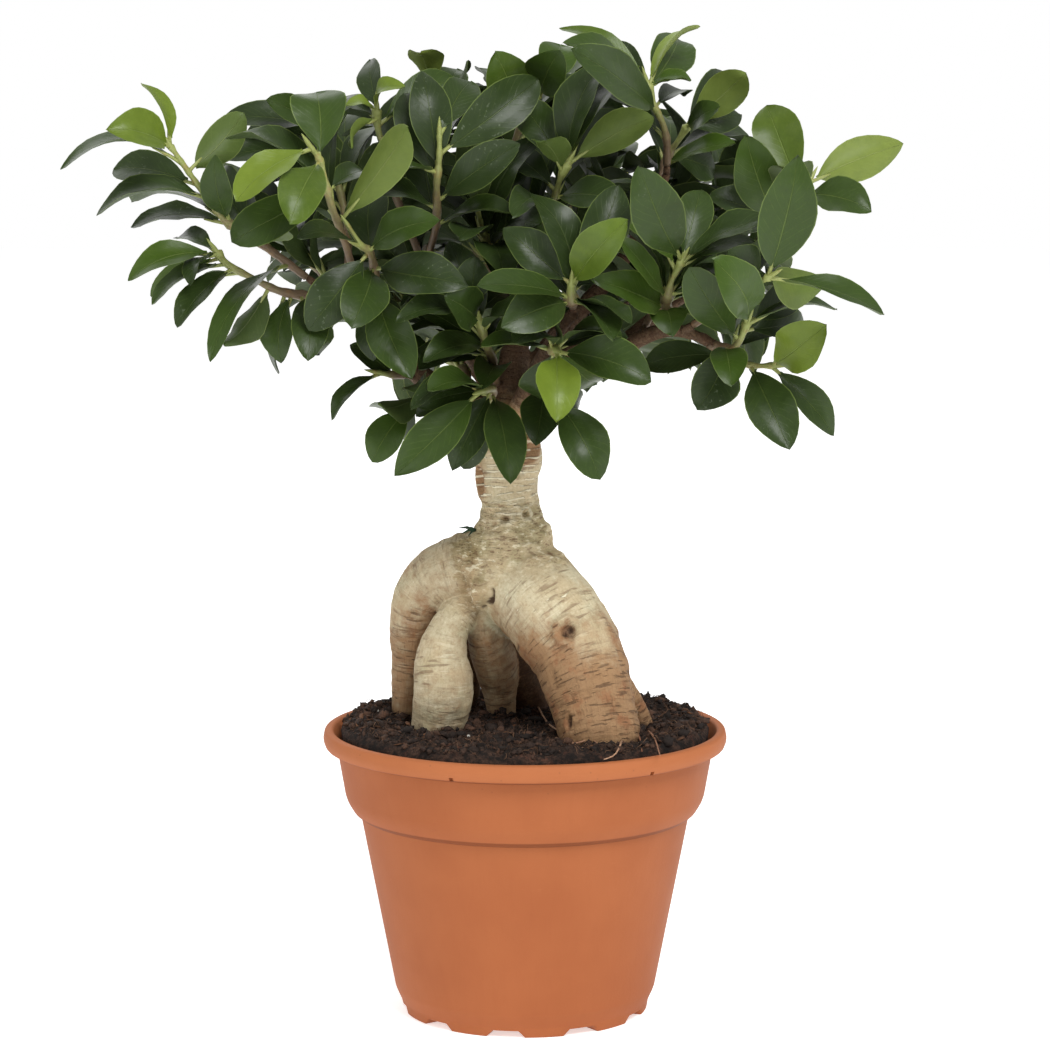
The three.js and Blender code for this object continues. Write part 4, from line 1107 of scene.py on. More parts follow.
# The trunk and roots.
TRUNK: tuple[Row, ...] = (
    (-4, 3, 183, 4.5), (-5, 3, 179, 8.2), (-5, 2, 170, 9.9), (-5, 2, 164, 9.9), (-5, 2, 158, 8.8),
    (-4, 2, 151, 8.4), (-4, 2, 147, 9.5), (-4, 2, 141, 11.8), (-4, 2, 136, 12.6), (-4, 2, 129, 13.5),
    (-4, 3, 122, 10.5), (-4, 5, 117, 6.5),
)
ROOTS: dict[str, tuple[Row, ...]] = {
    "right": (
        (-4, 2, 133, 11), (-2, 2, 129, 13.5), (4, -4, 124, 14.2), (10, -9, 117, 14.3), (15, -13, 110, 13.8),
        (18, -17, 102, 13.2), (20, -20, 95, 12.4), (22, -24, 86, 12), (23, -26, 79, 10),
    ),
    "left": (
        (-5, 3, 134, 9), (-10, 3, 134, 10), (-18, 4, 132, 9.8), (-26, 6, 129, 9), (-32, 8, 122, 7.8),
        (-34, 10, 112, 6.6), (-34.5, 12, 103, 5.7), (-35, 13, 92, 5), (-36, 14, 84, 4.4),
        (-36, 14, 79, 3.8),
    ),
    "front_left": (
        (-10, 2, 133, 5.5), (-14, 2, 127, 5), (-18.5, 0, 120, 5.2), (-22, -2, 115, 6), (-24, -4, 109, 7.4),
        (-24.2, -5, 103, 8.6), (-24.2, -6, 97, 9), (-25, -5, 91, 8.4), (-26, -4, 84, 7.6),
        (-26, -3, 79, 6.6),
    ),
    "centre": (
        (-8, 2, 131, 7), (-12, 2, 123, 4.8), (-12.4, 3, 116, 5), (-10.8, 6, 109, 6.3), (-9.2, 9, 103, 6.5),
        (-8, 12, 97, 5.9), (-7.4, 13, 91, 4.9), (-7, 14, 84, 4.2), (-7, 15, 79, 3.6),
    ),
    "back": (
        (-3, 6, 130, 9), (-5, 8, 122, 7), (-4, 14, 110, 6.5), (-2, 20, 98, 6.2), (2, 26, 87, 5.6),
        (3, 28, 79, 4.6),
    ),
    "back_left": (
        (-8, 6, 128, 8), (-14, 12, 118, 7), (-18, 20, 106, 6.4), (-19, 27, 94, 5.6), (-20, 30, 85, 5),
        (-20, 31, 79, 4.4),
    ),
    "side": (
        (19, -14, 110, 5), (24, -8, 104, 4), (29.5, -4, 97, 3.5), (33.5, -2, 90, 3.2), (35.5, -1, 84, 3),
        (36, 0, 79, 2.6),
    ),
}


@dataclass(frozen=True)
class Limb:
    """A woody limb: the points along it and its radius at both ends."""

    points: tuple[Row, ...]
    thick: float
    thin: float

    @property
    def curve(self) -> Curve:
        """The limb's middle line."""
        return Curve(self.points)

    @property
    def samples(self) -> tuple[Array, Array]:
        """Points along the limb, eight for each of its own, and the radius at each.

        Returns:
            The points and the radii.
        """
        curve = self.curve
        places = np.arange(curve.last * 8 + 1) / 8
        return curve.line(places), self.thick + (self.thin - self.thick) * places / curve.last


LIMBS: dict[str, Limb] = {
    "leader": Limb((
        (-4, 2, 170), (-4, 2, 182), (-3, 6, 197), (-1, 8, 214), (-2, 8, 233), (-4, 6, 249),
    ), 6, 1.5),
    "left": Limb((
        (-4, 2, 175), (-16, -3, 183), (-29, -6, 189), (-41, -8, 201), (-52, -12, 211), (-60, -14, 217),
    ), 4.6, 1.5),
    "leftUp": Limb(((-4, 4, 179), (-14, 4, 193), (-23, 2, 208), (-29, -4, 223)), 3.8, 1.5),
    "right": Limb(((-3, 2, 179), (10, -4, 190), (25, -10, 197), (40, -16, 204), (52, -18, 202)), 4.4, 1.5),
    "rightUp": Limb(((-3, 6, 183), (10, 10, 201), (26, 8, 219), (36, 2, 236), (41, -3, 248)), 3.6, 1.4),
    "front": Limb(((-4, -2, 177), (3, -16, 192), (9, -28, 204), (14, -36, 210)), 3.2, 1.4),
    "backLeft": Limb(((-5, 8, 179), (-18, 28, 195), (-32, 42, 214), (-43, 48, 233)), 3.8, 1.4),
    "backRight": Limb(((-3, 8, 179), (15, 30, 196), (34, 44, 213), (50, 48, 228)), 3.8, 1.4),
    "back": Limb(((-4, 12, 180), (-2, 38, 197), (1, 54, 219), (3, 56, 239)), 3.4, 1.4),
    "rightFar": Limb(((25, -10, 197), (41, 2, 209), (59, 4, 220), (70, -2, 231)), 2.6, 1.3),
}


@dataclass(frozen=True)
class Scar:
    """A knot, pit or lump on the bark, where the front view shows it.

    Attributes:
        pixel: Its middle in the photograph, 1050 pixels wide.
        size: Its radius.
        rim: How far its rim or dome stands out.
        pit: How deep its middle lies.
        brown, dark, pale: How much it tints the bark; dark darkens its pit or crease, partly as painted shade
            in the hollow and partly as the scar's own darker bark.
        crust: How rough it makes it.
        tall: How much taller than wide it is.
        end: Where it ends, if it runs on from its middle like a crease.
    """

    pixel: tuple[float, float]
    size: float
    rim: float
    pit: float
    brown: float = 0.0
    dark: float = 0.0
    pale: float = 0.0
    crust: float = 0.0
    tall: float = 1.0
    end: Optional[tuple[float, float]] = None


@dataclass
class View:
    """The photograph's viewpoint, which is the camera's."""

    eye: Colour = (0.0, -1000.0, 277.0)
    down: float = 7.5
    lens: float = 117.2
    sensor: float = 36.0
    picture: float = 1050.0

    def sight(self, pixel: tuple[float, float]) -> Array:
        """Finds the direction in which the camera sees a pixel of the photograph.

        Args:
            pixel: The pixel, counted from the top left corner.

        Returns:
            The direction, 1 long.
        """
        focus = self.lens / self.sensor * self.picture
        right = (pixel[0] - self.picture / 2) / focus
        up = (self.picture / 2 - pixel[1]) / focus
        lean = math.radians(self.down)
        ahead = math.cos(lean) + up * math.sin(lean)
        rise = up * math.cos(lean) - math.sin(lean)
        return unit(np.array((right, ahead, rise)))

    def on_level(self, pixel: tuple[float, float], level: float, axis: int = 2) -> Array:
        """Finds the point seen at a pixel whose place on an axis is at a level."""
        sight = self.sight(pixel)
        return np.array(self.eye) + sight * (level - self.eye[axis]) / sight[axis]

    def on_piece(self, pixel: tuple[float, float], piece: Piece) -> Optional[Array]:
        """Finds the point of a piece that the camera sees at a pixel, or None."""
        hit, place, _, _ = piece.ray_cast(Vector(self.eye) * MM, Vector(self.sight(pixel)))
        return np.array(place) / MM if hit else None


@dataclass
class Tube:
    """A stretch of wood: points down its middle, closely spaced, and the radius at each."""

    name: str
    path: Array
    radii: Array

    @staticmethod
    def through(name: str, rows: Sequence[Row], steps: int = 4) -> "Tube":
        """Lays a smooth tube through rows of x, y, z and radius.

        Args:
            name: Which piece of the tree it is.
            rows: The rows.
            steps: How many short lengths each stretch is split into.

        Returns:
            The tube.
        """
        curve = Curve(rows)
        line = curve.line(np.arange(curve.last * steps + 1) / steps)
        return Tube(name, line[:, :3], line[:, 3])

    def frames(self) -> tuple[Array, Array, Array, Array]:
        """Works out how the tube runs.

        Returns:
            Its direction and its two sides at each point, and its length up to there.
        """
        steps = np.diff(self.path, axis=0)
        length = np.concatenate(([0.0], np.cumsum(np.linalg.norm(steps, axis=1))))
        along = np.gradient(self.path, axis=0)
        along /= np.linalg.norm(along, axis=1)[:, None]
        sides = [unit(np.cross(along[0], (0.3, 1.0, 0.2)))]
        for direction in along[1:]:
            sides.append(unit(sides[-1] - direction * sides[-1].dot(direction)))
        return along, np.array(sides), np.cross(along, sides), length


@dataclass
class Wood:
    """The trunk with its swollen roots, its limbs and the short spurs that carry the leafy stems.

    A root's tone is how brown it is above and at the soil, and how much painted shade darkens it: a root
    below its crotch, the trunk and limbs up inside the crown.
    """

    view: View
    voxel: float = 0.75
    tube_sides: int = 24
    thin_sides: int = 10
    part_size: int = 4000
    # The third number of a tone is painted shade: it darkens the back roots under the arch and the trunk's
    # top inside the crown.
    root_tones: tuple[tuple[str, float, float, float], ...] = (
        ("trunk", 0.05, 0.05, 0.7), ("right", 0.2, 1.1, 0.0), ("left", 0.4, 0.8, 0.0),
        ("front_left", 0.12, 0.38, 0.0), ("centre", 0.15, 0.75, 0.0), ("back", 0.6, 1.0, 0.75),
        ("back_left", 0.5, 0.9, 0.6), ("side", 0.9, 1.1, 0.0),
    )
    # Its third number is painted shade on the limbs inside the crown.
    limb_tone: Row = (0.05, 0.05, 0.8)
    upper_brown: float = 0.75
    scars: tuple[Scar, ...] = (
        Scar((568, 631.5), 3.6, 1.4, 1.5, brown=0.35, dark=0.72),
        Scar((571, 629), 1.1, 0.4, 0.8, dark=0.35),
        Scar((564, 635), 0.9, 0.4, 0.8, dark=0.35),
        Scar((556, 627), 0.9, 0.3, 0.5, brown=0.3, dark=0.4),
        Scar((506, 519), 1.9, 1.1, 1.2, brown=0.9, dark=0.5, pale=0.9),
        Scar((525.5, 513.5), 1.8, 1.0, 1.1, brown=0.9, dark=0.5, pale=0.9),
        Scar((517.5, 474.5), 1.5, 1.2, 0.6, dark=0.3, pale=0.9),
        Scar((493, 522), 1.4, 0.8, 0.0, pale=0.6),
        Scar((546, 527), 1.6, 1.0, 0.0, pale=0.5),
        Scar((488, 538), 1.9, 1.0, 0.0, pale=0.4),
        Scar((481, 588), 2.4, 2.4, 0.0, brown=0.35, crust=0.3),
        Scar((484, 597), 2.3, 2.9, 0.0, brown=0.45, crust=0.3),
        Scar((474, 572), 5.5, 0.5, 0.0, brown=0.3, crust=0.7, tall=2.0),
        Scar((470, 606), 3.5, 0.3, 0.0, brown=0.4, crust=0.5),
        # These creases are painted shade: dark lines where the knob and the roots fold in.
        Scar((492.5, 589), 0.8, 0.0, 1.2, dark=0.75, end=(493.5, 596)),
        Scar((492.5, 599), 1.2, 0.0, 1.8, dark=1.2, end=(490.5, 602.5)),
        Scar((488, 604.5), 0.8, 0.0, 1.0, dark=0.7, end=(483, 607)),
        Scar((470, 560), 0.8, 0.0, 0.5, dark=0.35, end=(473, 590)),
        Scar((482, 480), 2.4, 0.9, 1.3, brown=1.5, tall=2.4),
        Scar((528, 449), 3.6, 0.9, 0.6, brown=1.6, dark=0.15),
        Scar((520, 457), 1.6, 0.8, 0.0, brown=1.0),
        Scar((612, 704), 1.5, 0.4, 0.2, brown=0.9, dark=0.3),
        Scar((568.5, 722), 1.3, 0.2, 1.6, dark=1.0, tall=2.6),
        Scar((575, 668), 1.2, 0.1, 0.4, dark=0.5),
        Scar((497, 640), 2.4, 0.3, 0.5, dark=0.3),
        Scar((444, 607), 1.6, 0.2, 0.3, dark=0.25),
    )

    def tubes(self, spurs: Sequence[Spur]) -> list[Tube]:
        """Lists every stretch of wood.

        Args:
            spurs: The start, end and radius of each spur.

        Returns:
            The trunk, roots, limbs and spurs as tubes.
        """
        found = [Tube.through("trunk", TRUNK)]
        found += [Tube.through(name, rows) for name, rows in ROOTS.items()]
        found += [Tube("limb", *limb.samples) for limb in LIMBS.values()]
        for start, end, radius in spurs:
            path = start + np.outer(np.linspace(0, 1, 4), end - start)
            found.append(Tube("spur", path, np.full(4, radius)))
        return found

    def grow(self, tubes: Sequence[Tube]) -> Piece:
        """Fuses the tubes into one skin.

        Args:
            tubes: Every stretch of wood.

        Returns:
            The tree's bare skin.
        """
        bunch = Bunch()
        for tube in tubes:
            sides = self.tube_sides if tube.radii.max() > 5 else self.thin_sides
            bunch.add_tube(tube.path, tube.radii, sides)
        tree = mesh_piece("trunk_and_roots", np.concatenate(bunch.points), bunch.faces)
        apply_modifier(tree, "REMESH", mode="VOXEL", voxel_size=self.voxel * MM)
        apply_modifier(tree, "SMOOTH", factor=0.6, iterations=7)
        return tree

    def trace(self, points: Array, tubes: Sequence[Tube]) -> tuple[Array, Array, Array, Array]:
        """Finds which tube each point of the skin belongs to and where on it.

        Args:
            points: The skin's points.
            tubes: Every stretch of wood.

        Returns:
            For each point its tube's number, its radius there, its grain, two numbers round and one along,
            and how clearly it belongs to that tube, from 0 to 1.
        """
        frames = [tube.frames() for tube in tubes]
        path = np.concatenate([tube.path for tube in tubes])
        radii = np.concatenate([tube.radii for tube in tubes])
        owner = np.concatenate([np.full(len(tube.path), k) for k, tube in enumerate(tubes)])
        along, side, other, length = (np.concatenate([frame[k] for frame in frames]) for k in range(4))
        starts = np.searchsorted(owner, np.arange(len(tubes)))
        weight = np.sqrt(radii) + 1
        square = (path**2).sum(1)
        found, clearly = [], []
        for start in range(0, len(points), self.part_size):
            part = points[start : start + self.part_size]
            gap = np.sqrt(np.maximum((part**2).sum(1)[:, None] + square - 2 * part @ path.T, 0))
            gap = (gap - radii) / weight
            found.append(np.argmin(gap, axis=1))
            best = np.partition(np.minimum.reduceat(gap, starts, axis=1), 1, axis=1)
            clearly.append(best[:, 1] - best[:, 0])
        nearest = np.concatenate(found)
        offset = points - path[nearest]
        slide = (offset * along[nearest]).sum(1)
        turn = np.arctan2((offset * other[nearest]).sum(1), (offset * side[nearest]).sum(1))
        reach = radii[nearest]
        grain = np.column_stack((np.cos(turn) * reach, np.sin(turn) * reach, length[nearest] + slide))
        grain[:, 0] += 40.0 * owner[nearest]
        return owner[nearest], reach, grain, smooth_step(np.concatenate(clearly), 0.06, 0.4)

    def scarred(self, tree: Piece, points: Array) -> dict[str, Array]:
        """Works out what the scars do to each point of the skin.

        Args:
            tree: The bare skin.
            points: Its points.

        Returns:
            How far each point rises and how brown, dark, crusty and pale it gets, the dark partly painted
            shade in pits and creases.
        """
        found = {name: np.zeros(len(points)) for name in ("rise", "brown", "dark", "crust", "pale")}
        for scar in self.scars:
            middle = self.view.on_piece(scar.pixel, tree)
            if middle is None:
                LOG.warning("the scar at %s lies off the bark", scar.pixel)
                continue
            offset = points - middle
            if scar.end is not None:
                line = self.view.on_piece(scar.end, tree) - middle
                offset -= np.outer(np.clip(offset @ line / (line @ line), 0, 1), line)
            away = np.linalg.norm(offset / (1, 1, scar.tall), axis=1) / scar.size
            ring = np.exp(-(((away - 0.95) / 0.4) ** 2)) if scar.pit > 0 else np.exp(-(away**2))
            core = np.exp(-((away / 0.7) ** 4))
            round_it = np.exp(-(away**2) / 1.2)
            found["rise"] += scar.rim * ring - scar.pit * core
            found["brown"] += scar.brown * round_it
            found["crust"] += scar.crust * round_it
            # Painted shade in the pit or crease, partly the scar's own darker bark.
            found["dark"] += scar.dark * core
            found["pale"] += scar.pale * ring
        return found

    def shape(self, tree: Piece, tubes: Sequence[Tube]) -> None:
        """Raises the bark's relief and paints its grain and tints.

        Args:
            tree: The bare skin.
            tubes: Every stretch of wood.
        """
        points = read_points(tree) / MM
        normals = read_points(tree, "normal")
        owner, reach, grain, whole = self.trace(points, tubes)
        scars = self.scarred(tree, points)
        thick = np.clip(reach / 9, 0.12, 1)
        height = points[:, 2]
        names = [tube.name for tube in tubes]
        tones = {name: tone for name, *tone in self.root_tones}
        high, low, painted_shade = np.array([tones.get(name, self.limb_tone) for name in names])[owner].T
        root = np.array([name in ROOTS for name in names])[owner]
        trunk = np.array([name == "trunk" for name in names])[owner]

        wander = height + 6 * rough(points, 15, 8) + 4 * rough(grain * (0.6, 0.6, 0.15), 3.0, 9) * whole
        brown = high + (low - high) * smooth_step(wander, 128, 103)
        brown += self.upper_brown * smooth_step(wander, 160, 178) + scars["brown"]
        ragged = height + 4 * rough(points, 6, 12) + 2.5 * rough(points, 2.2, 13)
        crust = smooth_step(ragged, 127, 138) * smooth_step(ragged, 157, 147)
        crust *= smooth_step(np.hypot(points[:, 0] + 3, points[:, 1] - 2), 22, 15)
        crust = np.clip((crust + scars["crust"]) * (1 + 0.6 * rough(points, 7, 11)), 0, 1)
        # Painted shade: roots darken below their crotch, and the trunk and limbs above 176 mm, each by its
        # tone's third number.
        dark = painted_shade * np.where(root, smooth_step(height, 132, 116), smooth_step(height, 176, 186))
        dark = dark + scars["dark"]
        grime = height + 1.6 * rough(points, 1.4, 10) + 1.6 * rough(points, 4, 14)
        dark += 0.7 * smooth_step(grime, 89.5, 85)

        bumps = 0.8 * rough(points, 13, 1) + 0.4 * rough(points, 5.5, 2) + 0.14 * rough(points, 2.4, 15)
        wrinkles = rough(grain * (0.25, 0.25, 1.0), 2.0, 3) * whole
        flutes = rough(grain * (1.0, 1.0, 0.12), 2.4, 4) * whole
        lumps = 1.2 * np.abs(rough(points, 3.4, 5)) + 0.7 * rough(points * (1, 1, 2.2), 3.4, 6)
        rings = np.abs(rough(grain * (0.12, 0.12, 1.0), 1.5, 7))
        rings = trunk * smooth_step(height, 146, 152) * rings * whole
        rise = scars["rise"] + thick * bumps + crust * lumps + 0.25 * rings
        rise += thick * ((0.14 + 0.3 * brown * root) * wrinkles + (0.08 + 0.2 * brown * root) * flutes)
        move_points(tree, points + normals * rise[:, None])
        paint(tree, "grain", grain)
        paint(tree, "open", whole)
        pale = scars["pale"]
        paint(tree, "tint", np.column_stack((brown - 0.5 * pale, np.clip(crust - pale, 0, 1), dark)))

    def build(self, spurs: Sequence[Spur]) -> Piece:
        """Builds and dresses the tree's wood.

        Args:
            spurs: The start, end and radius of each spur.

        Returns:
            The finished wood.
        """
        tubes = self.tubes(spurs)
        tree = self.grow(tubes)
        self.shape(tree, tubes)
        tree.data.polygons.foreach_set("use_smooth", [True] * len(tree.data.polygons))
        tree.data.materials.append(BarkFinish().make())
        hand_over(tree, Slot.BARK, ["tree"])
        return tree


# The crown's layout.
@dataclass(frozen=True)
class StemRow:
    """A leafy stem: where it leaves its limb, its route, and its leaves or how many grow by rule.

    A leaf is its place along the stem, its tip, its width, the turn and rise in degrees of the side
    that its top faces, its bow, and its tone from 0 for old and dark to 1 for young and light.
    """

    name: str
    limb: str
    at: float
    route: tuple[Row, ...]
    leaves: tuple[tuple, ...] = ()
    count: int = 0


@dataclass(frozen=True)
class Layout:
    """Sizes that the whole crown shares. A play is how far drawn values of a size spread.

    Attributes:
        gap: The fine gap between a spur and its twig.
        outline_scale: Makes the widest place of a blade as wide as it is said to be.
        leaf_clearance, edge_margin, wood_clearance: How far leaves keep from leaves and wood.
        free_share, free_foot: The share of a leaf that may meet its own stem's leaves, and its twig.
        leaf_range, wood_range: How far beyond its own length a leaf is tested against others.
        shifts, late_shifts: How far a listed leaf moves along the line of sight, in order of trial.
        leafy_from: The share of a twig below its leaves.
        lean, lean_fall: How far leaves lean from the twig, and how much less at its tip, in degrees.
        inner_ahead: How far an inner leaf of a seen stem may reach forward.
        deepest: How far back a leaf may reach.
        cover_least, cover_most: The share of a leaf that lies before bare limbs, and before listed leaves.
        cover_reach, cover_beyond: How far a listed leaf's spots and a limb's edge reach for that.
    """

    gap: float = 0.3
    stalk_share: float = 0.12
    stalk_half_width: float = 0.55
    outline_scale: float = 2.319
    fold: float = 0.22
    spur_radius: float = 1.3
    spur_reach: float = 2.0
    twig_radius: float = 1.0
    leaf_clearance: float = 1.6
    edge_margin: float = 1.0
    wood_clearance: float = 1.1
    free_share: float = 0.3
    free_foot: float = 0.35
    leaf_range: float = 6.0
    wood_range: float = 16.0
    shifts: Row = (0, -3, 3, -6, 6, -9, 9, -13, 13, -17, 17)
    late_shifts: Row = (0, -3, 3, -6, -9, -13, -17, -21, 6, 9, -26, -32, 13, 17, 21)
    leafy_from: float = 0.22
    golden_angle: float = 137.5
    stem_turn: float = 50.0
    turn_play: float = 70.0
    lean: float = 74.0
    lean_fall: float = 42.0
    lean_play: float = 24.0
    outward: float = 0.35
    droop: float = 0.15
    length: float = 23.0
    length_play: float = 9.0
    attempts: int = 14
    inner_ahead: float = 1.5
    deepest: float = 97.0
    cover_most: float = 0.3
    cover_least: float = 0.25
    cover_reach: float = 2.0
    cover_beyond: float = 0.5
    middle: Row = (-8.0, 5.0, 215.0)


@dataclass(frozen=True)
class Growth:
    """How the leaves of one kind grow by rule.

    Attributes:
        seed, step: The first leaf's seed on a stem, and how far apart the seeds are.
        ease: The share of the full clearances that they keep.
        count: How many grow on each stem, or 0 where the stem's row says so.
        size: How much larger than usual they are.
        tone: How light they may be, or 0 where that follows their place on the stem.
    """

    seed: int
    step: int
    ease: float = 1.0
    count: int = 0
    size: float = 1.0
    tone: float = 0.0


